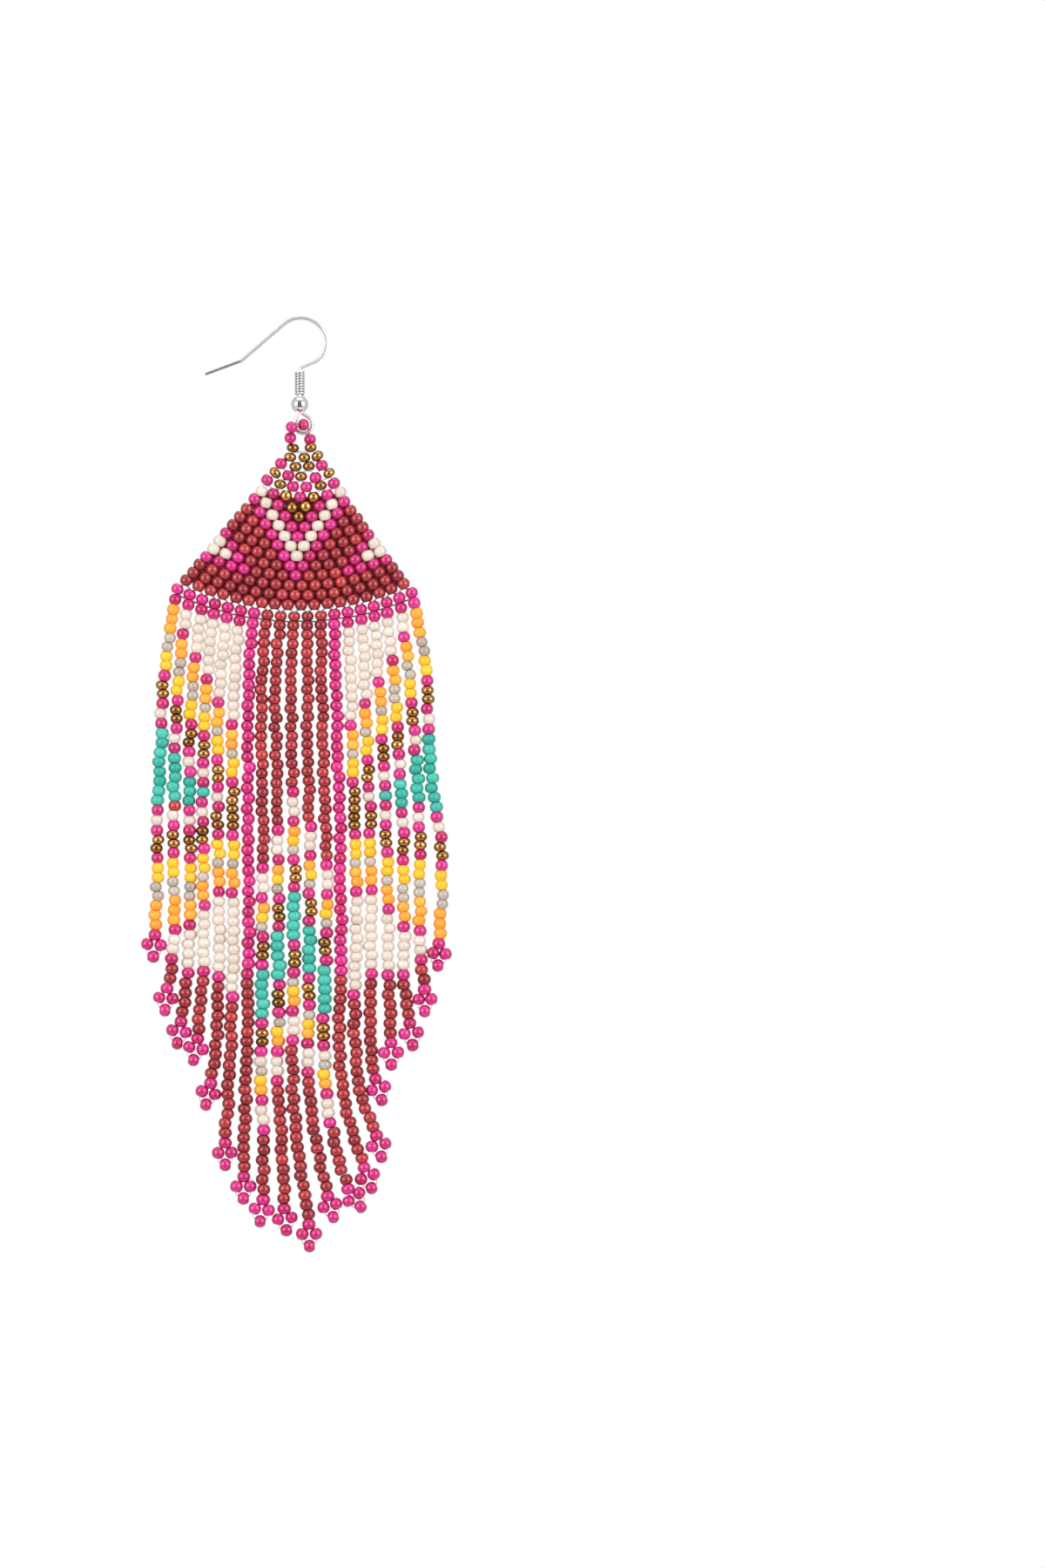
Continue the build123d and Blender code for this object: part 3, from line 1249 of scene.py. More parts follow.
@dataclass
class FanLayout:
    """Where the rows of the fan and the ladder row below it lie."""

    centre_x: float = 0.5
    centre_z: float = -2.646
    lean: float = -0.9
    row_drift: float = -0.05
    first_row: int = 2
    last_row: int = 18
    last_row_r: float = 47.38
    row_pitch: float = 1.712
    bead_pitch: float = 2.305
    first_row_pitch: float = 3.1
    first_row_top: float = 0.56
    socket_depth: float = 1.2
    ladder_pitch: float = 2.352
    fringe_gap: float = 0.3

    def radius(self, row: int) -> float:
        """The radius of a row's middle line, the ladder row's too."""
        gap = self.fringe_gap if row > self.last_row else 0.0
        return self.last_row_r - (self.last_row - row) * self.row_pitch + gap

    def angle(self, row: int, place: float) -> float:
        """A bead's angle from its row's middle, in degrees.

        Args:
            row: the row.
            place: the bead's number in it, from 0.

        Returns:
            The angle.
        """
        pitch = self.ladder_pitch if row > self.last_row else self.bead_pitch
        if row == self.first_row:
            pitch = self.first_row_pitch
        return math.degrees(pitch / self.radius(row)) * (place - (row - 1) / 2)

    def point(self, row: int, beyond: float, angle: float, depth: float = 0.0) -> np.ndarray:
        """A point of the fan, in metres.

        Args:
            row: the row that it belongs to.
            beyond: how far outside the row's middle line, in millimetres.
            angle: the angle from the row's middle, in degrees.
            depth: how far behind the fan's plane, in millimetres.

        Returns:
            The point.
        """
        radius = self.radius(row) + beyond
        turn = math.radians(angle + self.lean)
        x = self.centre_x + self.row_drift * (row - self.first_row) + radius * math.sin(turn)
        z = self.centre_z - radius * math.cos(turn)
        return np.array([x, depth, z]) * MM

    def ladder_point(self, place: float, beyond: float = 0.0, depth: float = 0.0) -> np.ndarray:
        """A point of the row of the strands' top beads, in metres, at a bead or between two."""
        row = self.last_row + 1
        return self.point(row, beyond, self.angle(row, place), depth)

    def outward(self, angle: float) -> np.ndarray:
        """The direction away from the arcs' centre at an angle."""
        turn = math.radians(angle + self.lean)
        return np.array([math.sin(turn), 0.0, -math.cos(turn)])

    def socket_end(self, side: int) -> np.ndarray:
        """Where the loop's thread ends in the first row, on the left (-1) or right (1)."""
        half = math.degrees(self.first_row_pitch / 2 / self.radius(self.first_row))
        return self.point(self.first_row, self.socket_depth - self.first_row_top, side * half)


@dataclass
class BeadLoop:
    """The four beads and the thread that hang in the hook's ring.

    The corners are the thread's, from the ring's middle, and each share is where a bead sits on
    the run that starts at its corner, or None for a run without one.
    """

    beads: dict[Hue, bpy.types.Material]
    thread: bpy.types.Material
    chance: random.Random
    layout: FanLayout
    ring: tuple[float, float, float] = (0.5, 0.0, -18.404)
    corners: tuple[tuple[float, float, float], ...] = (
        (-1.96, -0.1, -3.2),
        (-2.67, -1.55, -1.36),
        (-1.35, -2.0, 0.35),
        (0.82, 0.4, -0.33),
        (0.86, 0.52, -0.97),
        (1.3, 0.18, -3.52),
    )
    bead_shares: tuple[Optional[float], ...] = (0.46, 0.48, 0.62, None, 0.64, None)
    bead_length: float = 1.72
    bead_width: float = 2.14
    bead_hole: float = 0.4
    thread_d: float = 0.2
    thread_steps: int = 32

    def build(self) -> None:
        """Builds and dresses the loop's beads and its thread."""
        left_end, right_end = (self.layout.socket_end(side) / MM for side in (-1, 1))
        points = [*(np.array(self.ring) + np.array(corner) for corner in self.corners), right_end]
        tray = BeadTray(self.chance, hole=self.bead_hole)
        for start, end, share in zip(points, points[1:], self.bead_shares):
            if share is not None:
                centre = start + (end - start) * share
                axis = (end - start) / np.linalg.norm(end - start)
                tray.put(Bead(centre * MM, axis, Hue.MAGENTA, self.bead_length, self.bead_width, wobble=0.0))
        dress(tray.build("loop_bead_set", self.beads), "drop", "loop_beads", "loop_beads")
        route = Route.through([corner * MM for corner in (left_end, *points)], steps=self.thread_steps)
        line = Tubes(self.thread_d / 2 * MM)
        line.lay(route.points)
        dress(line.build("loop_line", self.thread), "drop", "thread", "loop_thread")


# The fan's rows from the top, from left to right
FAN_CHART = [
    "b2",
    "b3",
    "m b2 m",
    "b m b m b",
    "m b m2 b m",
    "w m b m b m w",
    "m w m b2 m w m",
    "r m w m b m w m r",
    "r2 m w m2 w m r2",
    "r3 m w m w m r3",
    "m r3 m w2 m r3 m",
    "w m r3 m w m r3 m w",
    "w2 m r3 m2 r3 m w2",
    "m4 r3 m r3 m4",
    "r16",
    "r17",
    "r18",
]

# The row of top beads that the strands hang from
LADDER_CHART = "m7 r5 m7"

# Places of the beads in the loose upper rows, as (x, z) in millimetres, and for a bead that
# leans its lean in degrees, positive towards +X
LOOSE_ROWS = {
    2: [(-1.36, -22.50), (1.76, -22.42)],
    3: [(-1.82, -24.10), (0.67, -24.19), (2.94, -23.91, 28)],
    4: [(-3.44, -25.24), (-0.90, -25.81), (1.44, -25.72), (3.71, -25.57)],
    5: [(-4.46, -26.86, -30), (-2.15, -27.36), (0.08, -27.51), (2.61, -27.75), (4.97, -26.92, 30)],
    6: [
        (-5.88, -28.15, -22), (-3.57, -28.89), (-1.36, -29.26), (1.0, -29.35), (3.53, -29.11),
        (5.83, -28.7, 20),
    ],
    7: [
        (-6.84, -30.09), (-4.77, -30.5), (-2.56, -30.92), (-0.07, -31.1), (2.27, -31.14),
        (4.69, -30.74), (6.99, -30.27),
    ],
    8: [
        (-8.09, -31.47, -20), (-6.06, -32.12), (-3.94, -32.49), (-1.49, -32.95), (0.89, -32.8),
        (3.31, -32.67), (5.5, -32.4), (7.62, -31.93),
    ],
}


@dataclass
class BeadFan:
    """The stitched fan, with the threads that show between its rows.

    Its beads are wider than is usual for their colour, but not wider than widest. Those of the
    loose rows are narrower. From the first bound row down, heavy dark red threads stand for the
    stitching and are also painted shade in the gaps; above it a fine thread takes their place.
    """

    beads: dict[Hue, bpy.types.Material]
    thread: bpy.types.Material
    shade_binding: bpy.types.Material
    chance: random.Random
    layout: FanLayout
    squarer: float = 0.03
    widest: float = 2.26
    width_share: float = 1.03
    loose_width_share: float = 0.97
    bead_length: float = 1.8
    wobble: float = 0.7
    place_spread: float = 0.05
    depth_spread: float = 0.07
    thread_d: float = 0.13
    thread_sides: int = 8
    stitch_tuck: float = 0.1
    stitch_steps: int = 6
    first_line_drop: float = 0.62
    first_line_sag: float = 1.1
    # Heavy dark red threads behind the lower row borders: stitching, and painted shade in the gaps
    shade_binding_d: float = 0.6
    shade_binding_depth: float = 0.1
    shade_binding_shifts: tuple[float, ...] = (-0.57, 0.0, 0.57)
    shade_binding_steps: int = 3
    first_shade_bound_row: int = 7
    rows: dict[int, list[Bead]] = field(default_factory=dict)

    def build(self) -> None:
        """Builds and dresses the fan's beads and its stitching."""
        tray = BeadTray(self.chance, squarer=self.squarer)
        for row, chart in enumerate(FAN_CHART, self.layout.first_row):
            self.rows[row] = []
            for place, hue in enumerate(read_chart(chart)):
                bead = self.bead(row, place, hue)
                self.rows[row].append(bead)
                tray.put(bead)
        dress(tray.build("fan_bead_set", self.beads), "drop", "fan_beads", "bead_fan")
        stitches = Tubes(self.thread_d / 2 * MM, sides=self.thread_sides)
        shade_bindings = Tubes(self.shade_binding_d / 2 * MM, sides=self.thread_sides)
        for row in range(self.layout.first_row, self.layout.last_row):
            if row < self.first_shade_bound_row:
                stitches.lay(self.stitch_line(row))
                continue
            # painted shade: three heavy dark threads along each lower row border
            for shift in self.shade_binding_shifts:
                shade_bindings.lay(self.shade_binding_line(row, shift))
        stitches.lay(self.first_line())
        dress(stitches.build("fan_stitching", self.thread), "drop", "thread")
        dress(shade_bindings.build("fan_shade_binding", self.shade_binding), "drop", "thread")

    def bead(self, row: int, place: int, hue: Hue) -> Bead:
        """One bead of the fan, a little off its exact place.

        Args:
            row: the bead's row.
            place: its number in the row.
            hue: its colour.

        Returns:
            The bead.
        """
        draw = self.chance.uniform
        beyond = draw(-self.place_spread, self.place_spread)
        aside = draw(-self.place_spread, self.place_spread)
        depth = draw(-self.depth_spread, self.depth_spread)
        angle = self.layout.angle(row, place) + math.degrees(aside / self.layout.radius(row))
        centre = self.layout.point(row, beyond, angle, depth)
        finish = BEAD_FINISHES[hue]
        length, width = self.bead_length, min(finish.width * self.width_share, self.widest)
        if row in LOOSE_ROWS:
            x, z, *lean = LOOSE_ROWS[row][place]
            centre = np.array([x, depth, z]) * MM
            angle += sum(lean)
            width = finish.width * self.loose_width_share
            if row < self.first_shade_bound_row:
                length = finish.length
        return Bead(centre, self.layout.outward(angle), hue, length, width, self.wobble)

    def first_line(self) -> np.ndarray:
        """The thread that sags between the lower ends of the first row's beads.

        Returns:
            The points that it follows, in metres.
        """
        left, right = self.rows[self.layout.first_row]
        low = left.axis * self.first_line_drop * MM
        middle = (left.centre + right.centre) / 2 + low * self.first_line_sag
        return Route.through([left.centre + low, middle, right.centre + low]).points

    def hole_line(self, row: int, reach: float) -> list[np.ndarray]:
        """Where the thread between a row and the next meets their beads' holes, in turn.

        Args:
            row: the upper row.
            reach: how far from each bead's middle, in millimetres.

        Returns:
            The places, from the left end.
        """
        places = []
        for place, below in enumerate(self.rows[row + 1]):
            places.append(below.centre - below.axis * reach * MM)
            if place < row:
                above = self.rows[row][place]
                places.append(above.centre + above.axis * reach * MM)
        return places

    def stitch_line(self, row: int) -> np.ndarray:
        """The fine thread between a row and the next, which ends inside the lower row's end beads.

        Args:
            row: the upper row.

        Returns:
            The points that it follows, in metres.
        """
        below = self.rows[row + 1]
        inner = self.hole_line(row, self.layout.row_pitch / 2 - self.stitch_tuck)
        return Route.through([below[0].centre, *inner, below[-1].centre], self.stitch_steps).points

    def shade_binding_line(self, row: int, shift: float) -> np.ndarray:
        """A heavier dark thread between two rows, which is also painted shade there and stops short of the
        end beads.

        Args:
            row: the upper row.
            shift: how far it lies below the rows' border, in millimetres.

        Returns:
            The points that it follows, in metres.
        """
        aside = np.array([0.0, self.shade_binding_depth, 0.0])
        line = []
        for number, place in enumerate(self.hole_line(row, self.layout.row_pitch / 2)):
            axis = self.layout.outward(self.layout.angle(row + 1, number / 2))
            line.append(place + (axis * shift + aside) * MM)
        line[0], line[-1] = (line[0] + line[1]) / 2, (line[-1] + line[-2]) / 2
        return Route.through(line, self.shade_binding_steps).points


# The left strands and the middle one, below their top beads; the right ones mirror the left
STRAND_CHARTS = [
    "m o3 g2 y2 m b2 m w m t8 m w m b2 m y2 g2 o3 m",
    "m w2 m o2 g2 y2 m b2 m w m t5 m w m b2 m y2 g2 o3 m w2 m r2 m",
    "m w4 m o2 g2 y2 m b2 m w m t3 m w m b2 m y2 g2 o2 m w4 m r4 m",
    "m w6 m o2 g y2 m b2 m w m t m w m b2 m y2 g o2 m w6 m r6 m",
    "m w8 m o2 g y2 m b2 m w m b2 m y2 g o2 m w8 m r10 m",
    "m w10 m o2 g y2 m b5 m y2 g o2 m w10 m r14 m",
    "m35 r20 m",
    "r26 m w2 m o y g m b2 m t5 m b2 m w g y o m w2 m r6 m",
    "r22 m w2 m o y g m b2 m t5 m b2 m g y o m w2 m r12 m",
    "r18 m w2 m o y g m b2 m t5 m b2 m g y o m w2 m r18 m",
]

# Each strand's route from its top bead, as (sideways, down) in millimetres
STRAND_ROUTES = [
    [(-1.4, 7.7), (-2.8, 19.2), (-2.9, 29.1), (-3.6, 39.0), (-3.4, 51.2), (-4.0, 60.6)],
    [(-1.1, 7.5), (-2.4, 18.9), (-2.7, 31.9), (-2.9, 44.9), (-2.6, 55.9), (-2.8, 63.7), (-4.0, 69.0)],
    [(-1.0, 7.4), (-2.1, 19.6), (-2.2, 31.8), (-2.1, 46.3), (-2.3, 60.4), (-2.7, 68.7), (-3.8, 74.0)],
    [(-1.2, 8.9), (-2.1, 21.9), (-2.2, 36.4), (-2.0, 50.1), (-1.9, 63.9), (-3.0, 76.2)],
    [
        (-1.2, 9.0), (-1.8, 22.0), (-1.9, 35.7), (-1.4, 47.9), (-1.6, 61.7), (-1.7, 70.9),
        (-2.0, 77.7), (-3.0, 83.4),
    ],
    [(-1.2, 8.9), (-1.5, 23.0), (-1.3, 36.8), (-1.4, 50.5), (-1.5, 64.3), (-1.8, 79.5), (-2.8, 93.3)],
    [(-1.2, 9.6), (-1.0, 24.1), (-1.1, 39.4), (-0.9, 54.7), (-1.1, 69.9), (-1.5, 84.4), (-1.9, 98.8)],
    [
        (-1.1, 8.5), (-1.1, 22.2), (-0.7, 36.7), (-0.8, 50.5), (-0.9, 65.0), (-1.2, 80.3),
        (-0.6, 92.5), (-0.8, 102.5),
    ],
    [
        (-1.0, 8.4), (-0.9, 22.1), (-0.4, 37.4), (-0.5, 52.6), (-0.2, 66.4), (-0.8, 81.6),
        (0.5, 94.6), (0.5, 103.9),
    ],
    [
        (-0.6, 9.0), (-0.4, 22.0), (0.0, 38.8), (0.1, 55.6), (-0.3, 70.8), (-0.4, 83.0),
        (0.7, 94.5), (2.6, 106.5),
    ],
    [
        (-0.1, 8.2), (0.0, 23.5), (0.5, 40.3), (0.4, 55.5), (0.1, 70.8), (0.1, 81.5), (1.2, 91.4),
        (3.5, 101.6),
    ],
    [
        (0.1, 8.4), (0.3, 23.6), (1.0, 40.4), (0.9, 54.2), (0.5, 67.9), (0.4, 79.4), (1.8, 90.8),
        (4.7, 100.5),
    ],
    [(0.3, 9.3), (0.5, 23.8), (1.1, 40.6), (1.2, 54.4), (0.9, 68.1), (0.8, 78.0), (2.0, 88.0), (5.2, 97.0)],
    [(0.5, 9.7), (0.8, 24.2), (1.4, 39.5), (1.6, 53.2), (1.3, 67.0), (1.2, 76.9), (2.1, 85.2), (5.1, 91.7)],
    [
        (0.7, 10.2), (1.1, 24.7), (1.7, 38.5), (1.9, 53.7), (1.6, 65.2), (1.8, 72.9), (1.9, 78.2),
        (2.6, 82.3),
    ],
    [(0.7, 10.7), (1.6, 23.7), (2.2, 37.5), (2.6, 52.7), (2.5, 64.9), (3.0, 76.5)],
    [(1.1, 10.7), (2.2, 25.2), (2.9, 39.7), (3.0, 53.4), (3.1, 63.0), (3.2, 69.5), (4.1, 73.8)],
    [(1.8, 12.3), (2.8, 25.3), (3.6, 39.0), (3.7, 51.1), (3.5, 60.6), (4.4, 68.6)],
    [(2.4, 10.0), (2.8, 20.7), (3.2, 32.2), (5.1, 42.1), (5.5, 52.0), (4.8, 61.5)],
]

# How far each strand's end hangs behind the fan's plane, in millimetres
TIP_DEPTHS = [
    0.3, -0.3, 0.4, -0.3, 0.2, -0.4, 0.3, -0.2, 0.4, -0.3,
    0.2, -0.4, 0.5, -0.3, 0.5, -0.4, 0.4, -0.3, 0.2,
]

# Each picot's turn towards +X, in degrees
PICOT_TURNS = [-4, -5, -9, -11, -13, 1, 0, -7, 7, 1, 15, 36, 20, 12, 16, 1, 7, 1, -3]

# Beads that differ from the pattern, by strand and then by number below the top bead
ODD_BEADS = {1: {21: Hue.BRICK}}


@dataclass
class Picot:
    """The three beads that end a strand, and the thread that ties them."""

    side: float = 1.2
    side_drop: float = 1.72
    tip_drop: float = 3.82
    side_lean: float = 12.0
    bead_length: float = 1.92
    bead_width: float = 2.26
    knot_drop: float = 0.7
    round_side: float = 1.15
    round_rise: float = 0.45
    tip_reach: float = 0.5
    thread_steps: int = 8

    def place(self, last: np.ndarray, turn: float, across: float, down: float) -> np.ndarray:
        """A point of the picot.

        Args:
            last: the strand's last bead, in metres.
            turn: the picot's turn towards +X, in degrees.
            across: the distance sideways, in millimetres.
            down: the distance down, in millimetres.

        Returns:
            The point, in metres.
        """
        angle = math.radians(turn)
        x = across * math.cos(angle) + down * math.sin(angle)
        z = across * math.sin(angle) - down * math.cos(angle)
        return last + np.array([x, 0.0, z]) * MM

    def string(self, last: np.ndarray, turn: float) -> list[Bead]:
        """The left, right and tip bead below a strand's last one.

        Args:
            last: the strand's last bead, in metres.
            turn: the picot's turn towards +X, in degrees.

        Returns:
            The beads.
        """
        beads = []
        for sign in (-1, 1):
            centre = self.place(last, turn, sign * self.side, self.side_drop)
            lean = math.radians(sign * self.side_lean)
            axis = (self.place(last, turn, math.sin(lean), math.cos(lean)) - last) / MM
            beads.append(Bead(centre, axis, Hue.MAGENTA, self.bead_length, self.bead_width))
        level = (self.place(last, turn, 1, 0) - last) / MM
        tip = self.place(last, turn, 0, self.tip_drop)
        beads.append(Bead(tip, level, Hue.MAGENTA, self.bead_length, self.bead_width))
        return beads

    def tie(self, last: Bead, beads: Sequence[Bead], turn: float, threads: Tubes) -> None:
        """Lays the thread from the last bead through each side bead to the tip bead.

        Args:
            last: the strand's last bead.
            beads: the picot's three beads.
            turn: the picot's turn towards +X, in degrees.
            threads: the threads that get it.
        """
        tip = beads[-1]
        for sign, bead in zip((-1, 1), beads):
            reach = bead.axis * self.bead_length / 2 * MM
            outside = tip.axis * sign * self.round_side + np.array([0.0, 0.0, self.round_rise])
            corners = [
                self.place(last.centre, turn, 0, self.knot_drop),
                bead.centre - reach,
                bead.centre + reach,
                tip.centre + outside * MM,
                tip.centre + tip.axis * sign * self.tip_reach * MM,
            ]
            threads.lay(Route.through(corners, self.thread_steps).points)


@dataclass
class Fringe:
    """The nineteen strands below the fan, each with the thread that shows at its ends.

    Below low_top, a height in millimetres, the beads grow by low_swell over low_fade.
    """

    beads: dict[Hue, bpy.types.Material]
    thread: bpy.types.Material
    chance: random.Random
    layout: FanLayout
    sway: float = 0.24
    depth_sway: float = 0.7
    end_sway: float = 0.4
    top_wobble: float = 0.6
    brick_top_share: float = 0.95
    touch: float = 1.03
    settle_rounds: int = 8
    settle_reach: float = 2.6
    settle_aside: float = 0.5
    low_top: float = -100.0
    low_fade: float = 12.0
    low_swell: float = 0.07
    thread_d: float = 0.18
    thread_sides: int = 8
    picot: Picot = field(default_factory=Picot)

    def build(self) -> None:
        """Builds and dresses every strand and the fringe's threads."""
        tops = read_chart(LADDER_CHART)
        strings = [self.string(index, top) for index, top in enumerate(tops)]
        self.settle(strings)
        threads = Tubes(self.thread_d / 2 * MM, sides=self.thread_sides)
        for index, string in enumerate(strings):
            tray = BeadTray(self.chance)
            for bead in string:
                tray.put(bead)
            top, second = string[0].centre, string[1].centre
            threads.lay(np.array([top, (top + second) / 2, second]))
            self.picot.tie(string[-4], string[-3:], PICOT_TURNS[index], threads)
            name = f"strand_{index + 1:02d}"
            dress(tray.build(f"{name}_beads", self.beads), "drop", "fringe_beads", name)
        dress(threads.build("fringe_threads", self.thread), "drop", "thread")

    def string(self, index: int, top: Hue) -> list[Bead]:
        """The beads of one strand, along its route.

        Args:
            index: the strand's number, from 0 at the left.
            top: the colour of its top bead.

        Returns:
            The top bead, the strand's beads and the picot's three.
        """
        draw = self.chance.uniform
        first = self.layout.ladder_point(index)
        far = STRAND_ROUTES[index][-1][1]
        corners = [first]
        for sideways, down in STRAND_ROUTES[index]:
            corners.append(first + np.array([sideways, TIP_DEPTHS[index] * down / far, -down]) * MM)
        route = Route.through(corners)
        hues = self.hues(index)
        lengths = self.lengths([top, *hues])
        steps = [(one + two) / 2 for one, two in zip(lengths, lengths[1:])]
        scale = route.length / MM / sum(steps)
        outward = self.layout.outward(self.layout.angle(self.layout.last_row + 1, index))
        strung = [Bead(first, outward, top, lengths[0], BEAD_FINISHES[top].width, self.top_wobble)]
        travelled = 0.0
        for number, hue in enumerate(hues):
            travelled += steps[number] * scale
            centre, ahead = route.at(travelled * MM)
            sway = self.sway * (self.end_sway if number in (0, len(hues) - 1) else 1.0)
            aside = np.array([draw(-1, 1), draw(-self.depth_sway, self.depth_sway), 0.0]) * sway * MM
            length = lengths[number + 1] * scale * self.touch
            width = BEAD_FINISHES[hue].width * self.swell(centre)
            strung.append(Bead(centre + aside, ahead, hue, length, width))
        return strung + self.picot.string(route.points[-1], PICOT_TURNS[index])

    def hues(self, index: int) -> list[Hue]:
        """The colours of a strand's beads below its top one.

        Args:
            index: the strand's number, from 0 at the left.

        Returns:
            The colours in order.
        """
        hues = read_chart(STRAND_CHARTS[min(index, len(STRAND_ROUTES) - 1 - index)])
        for number, hue in ODD_BEADS.get(index, {}).items():
            hues[number] = hue
        return hues

    def lengths(self, hues: Sequence[Hue]) -> list[float]:
        """The usual lengths of a strand's beads, a little less for the brick ones that start it.

        Args:
            hues: the beads' colours, from the top one.

        Returns:
            The lengths, in millimetres.
        """
        lengths = [BEAD_FINISHES[hue].length for hue in hues]
        for number, hue in enumerate(hues):
            if hue is not Hue.BRICK:
                break
            lengths[number] *= self.brick_top_share
        return lengths

    def swell(self, centre: np.ndarray) -> float:
        """How much wider a bead is for its place, since the lower beads are a little larger."""
        below = (self.low_top - centre[2] / MM) / self.low_fade
        return 1 + self.low_swell * min(max(below, 0.0), 1.0)

    def settle(self, strings: Sequence[Sequence[Bead]]) -> None:
        """Lets neighbouring strands slide past each other where their beads would meet.

        Args:
            strings: the strands' beads, which it moves.
        """
        for _ in range(self.settle_rounds):
            for number, (left, right) in enumerate(zip(strings, strings[1:])):
                front = -1 if number % 2 else 1
                lefts = np.array([bead.centre for bead in left])
                rights = np.array([bead.centre for bead in right])
                apart = np.linalg.norm(rights[None] - lefts[:, None], axis=2) / MM
                for one, two in zip(*np.nonzero(apart < self.settle_reach)):
                    need = (left[one].width + right[two].width) / 2 - apart[one, two]
                    if need > 0:
                        push = np.array([-self.settle_aside, -front, 0.0]) * need / 2 * MM
                        left[one].centre = left[one].centre + push
                        right[two].centre = right[two].centre - push


@dataclass
class LadderThread:
    """The thread that joins the strands' top beads, with its line below them and its loops above.

    Each of the loop's rises is a share of the way to the next bead and a height there.
    """

    thread: bpy.types.Material
    chance: random.Random
    layout: FanLayout
    line_d: float = 0.28
    line_drop: float = 0.86
    line_depth: float = 0.15
    sag_drop: float = 0.9
    sag_depth: float = 0.1
    sags: tuple[float, float] = (-0.05, 0.12)
    loop_d: float = 0.22
    loop_depth: float = -0.1
    loop_rises: tuple[tuple[float, float], ...] = (
        (0.0, 0.55),
        (0.12, 1.0),
        (0.5, 1.22),
        (0.88, 1.0),
        (1.0, 0.55),
    )
    sides: int = 8
    steps: int = 6

    def build(self) -> None:
        """Builds and dresses the line and the loops."""
        line = Tubes(self.line_d / 2 * MM, sides=self.sides)
        line.lay(self.line())
        dress(line.build("ladder_line", self.thread), "drop", "thread")
        loops = Tubes(self.loop_d / 2 * MM, sides=self.sides)
        for index in range(len(STRAND_ROUTES) - 1):
            loops.lay(self.loop(index))
        dress(loops.build("ladder_stitching", self.thread), "drop", "thread")

    def line(self) -> np.ndarray:
        """The line under the top beads, which sags a little between each two.

        Returns:
            The points that it follows, in metres.
        """
        corners = [self.layout.ladder_point(0, self.line_drop, self.line_depth)]
        for index in range(1, len(STRAND_ROUTES)):
            drop = self.sag_drop + self.chance.uniform(*self.sags)
            corners.append(self.layout.ladder_point(index - 0.5, drop, self.sag_depth))
            corners.append(self.layout.ladder_point(index, self.line_drop, self.line_depth))
        return Route.through(corners, self.steps).points

    def loop(self, index: int) -> np.ndarray:
        """The small loop over the gap between a top bead and the next.

        Args:
            index: the top bead's number, from 0 at the left.

        Returns:
            The points that it follows, in metres.
        """
        corners = []
        for share, rise in self.loop_rises:
            corners.append(self.layout.ladder_point(index + share, -rise, self.loop_depth))
        return Route.through(corners, self.steps).points


# The studio


@dataclass(frozen=True)
class SoftBox:
    """One soft light: its place, width and height in metres, and its power in watts."""

    name: str
    place: tuple[float, float, float]
    width: float
    height: float
    power: float
    shows_in_gloss: bool = True


SOFT_BOXES = (
    SoftBox("box_left", (-0.54, -0.52, 0.08), 0.42, 0.55, 4.0),
    SoftBox("box_right", (0.54, -0.52, 0.08), 0.42, 0.55, 4.0),
    SoftBox("box_top", (0.0, -0.1, 0.7), 0.7, 0.5, 2.0),
    SoftBox("box_back", (0.0, 0.8, 0.1), 0.9, 0.6, 5.0, shows_in_gloss=False),
)


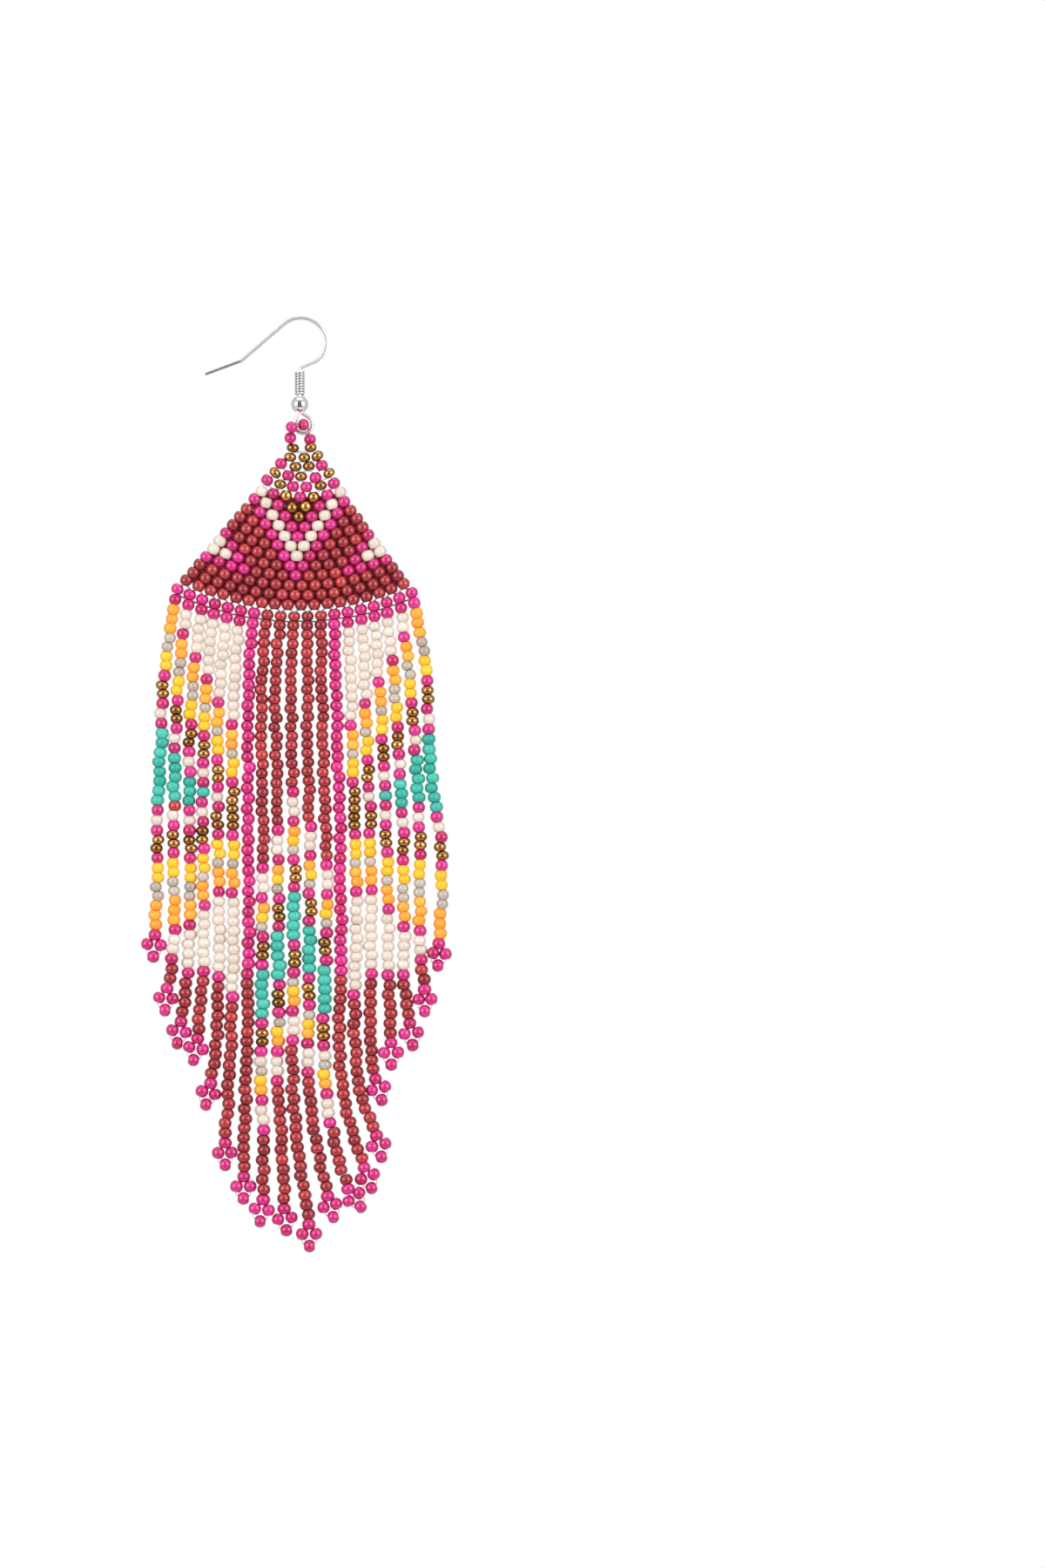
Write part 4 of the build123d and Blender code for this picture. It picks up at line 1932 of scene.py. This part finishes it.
@dataclass
class Studio:
    """A plain pale floor, soft light and the camera at the photograph's angle.

    Places are metres, and the camera's lens and the long side of its sensor millimetres. The
    gloss values say how strong the surroundings are in gloss: bright all round, dark in front of
    gloss_edge, which is a span of the direction's Y.
    """

    kit: ShaderKit
    frame_height: float = 0.2748
    frame_centre: tuple[float, float] = (0.0389, -0.0814)
    lens: float = 200.0
    long_side: float = 36.0
    clip: tuple[float, float] = (0.01, 20.0)
    floor_z: float = -0.62
    floor_side: float = 1.1
    floor_steps: int = 24
    fill: float = 0.3
    gloss_dark: float = 0.2
    gloss_bright: float = 0.95
    gloss_edge: tuple[float, float] = (-0.92, -0.5)

    def build(self) -> None:
        """Builds the floor, the world, the lights and the camera."""
        self.build_camera()
        self.build_world()
        self.build_lights()
        self.build_floor()

    def build_camera(self) -> None:
        """Places the camera level with the earring's middle, looking along +Y."""
        data = bpy.data.cameras.new("camera")
        data.lens = self.lens
        data.sensor_width = self.long_side
        data.clip_start, data.clip_end = self.clip
        camera = bpy.data.objects.new("camera", data)
        back = self.frame_height / 2 * self.lens / (self.long_side / 2)
        camera.location = (self.frame_centre[0], -back, self.frame_centre[1])
        camera.rotation_euler = (math.radians(90), 0, 0)
        bpy.context.scene.collection.objects.link(camera)
        bpy.context.scene.camera = camera
        log.info("camera %.3f m in front", back)

    def build_world(self) -> None:
        """Makes the white surroundings: full white to the eye, dimmer as light on the beads.

        Gloss shows them bright all round and dark towards the front.
        """
        world = bpy.data.worlds.new("white_studio")
        bpy.context.scene.world = world
        world.use_nodes = True
        tree = world.node_tree
        tree.nodes.clear()
        seen, fill, glossed = (add_node(tree, "ShaderNodeBackground") for _ in range(3))
        set_inputs(seen, Color=(1, 1, 1, 1), Strength=1.0)
        set_inputs(fill, Color=(1, 0.99, 0.98, 1), Strength=self.fill)
        path = add_node(tree, "ShaderNodeLightPath")
        where = add_node(tree, "ShaderNodeTexCoord")
        split = add_node(tree, "ShaderNodeSeparateXYZ")
        span = add_node(tree, "ShaderNodeMapRange", interpolation_type="SMOOTHSTEP")
        set_inputs(span, From_Min=self.gloss_edge[0], From_Max=self.gloss_edge[1])
        set_inputs(span, To_Min=self.gloss_dark, To_Max=self.gloss_bright)
        gloss = add_node(tree, "ShaderNodeMixShader")
        eye = add_node(tree, "ShaderNodeMixShader")
        out = add_node(tree, "ShaderNodeOutputWorld")
        links = tree.links
        links.new(where.outputs["Generated"], split.inputs[0])
        links.new(split.outputs["Y"], span.inputs["Value"])
        links.new(span.outputs["Result"], glossed.inputs["Strength"])
        links.new(path.outputs["Is Glossy Ray"], gloss.inputs[0])
        links.new(fill.outputs[0], gloss.inputs[1])
        links.new(glossed.outputs[0], gloss.inputs[2])
        links.new(path.outputs["Is Camera Ray"], eye.inputs[0])
        links.new(gloss.outputs[0], eye.inputs[1])
        links.new(seen.outputs[0], eye.inputs[2])
        links.new(eye.outputs[0], out.inputs["Surface"])
        bpy.context.scene.view_settings.view_transform = "Standard"

    def build_lights(self) -> None:
        """Places two soft boxes in front, left and right, one above and one behind."""
        middle = Vector((0.0, 0.0, self.frame_centre[1]))
        for box in SOFT_BOXES:
            data = bpy.data.lights.new(box.name, "AREA")
            data.shape = "RECTANGLE"
            data.size, data.size_y = box.width, box.height
            data.energy = box.power
            lamp = bpy.data.objects.new(box.name, data)
            lamp.location = box.place
            lamp.rotation_euler = (middle - Vector(box.place)).to_track_quat("-Z", "Y").to_euler()
            lamp.visible_camera = False
            lamp.visible_glossy = box.shows_in_gloss
            bpy.context.scene.collection.objects.link(lamp)

    def build_floor(self) -> None:
        """Lays a pale paper floor well below the earring."""
        count = self.floor_steps + 1
        side = np.linspace(-self.floor_side / 2, self.floor_side / 2, count)
        points = np.array([(x, y, self.floor_z) for y in side for x in side])
        corners = np.array([row * count + column for row in range(count - 1) for column in range(count - 1)])
        faces = np.column_stack([corners, corners + 1, corners + count + 1, corners + count])
        paper, shader = new_material("pale_paper", Roughness=0.9)
        tree = paper.node_tree
        dye = place_group(
            tree,
            self.kit.dye_lot,
            Deep=srgb(240, 240, 240),
            Pale=srgb(250, 250, 250),
            Tone=0.5,
            Mottle=0.4,
            Scale=40.0,
        )
        tree.links.new(dye.outputs["Color"], shader.inputs["Base Color"])
        finish_mesh("floor", points, faces, [paper])


def main() -> None:
    """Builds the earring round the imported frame, then the studio."""
    logging.basicConfig(level=logging.INFO, format="%(name)s %(message)s")
    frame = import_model()
    kit = ShaderKit.make()
    beads = {hue: finish.material(kit) for hue, finish in BEAD_FINISHES.items()}
    grey, fine, shade_binding, clear = (
        finish.material(kit) for finish in (GREY_THREAD, FINE_THREAD, SHADE_BINDING_THREAD, CLEAR_THREAD)
    )
    chance = random.Random(SEED)
    layout = FanLayout()
    EarHook(kit).build()
    BeadLoop(beads, grey, chance, layout).build()
    BeadFan(beads, fine, shade_binding, chance, layout).build()
    Fringe(beads, clear, chance, layout).build()
    LadderThread(grey, chance, layout).build()
    Studio(kit).build()


if __name__ == "__main__":
    main()
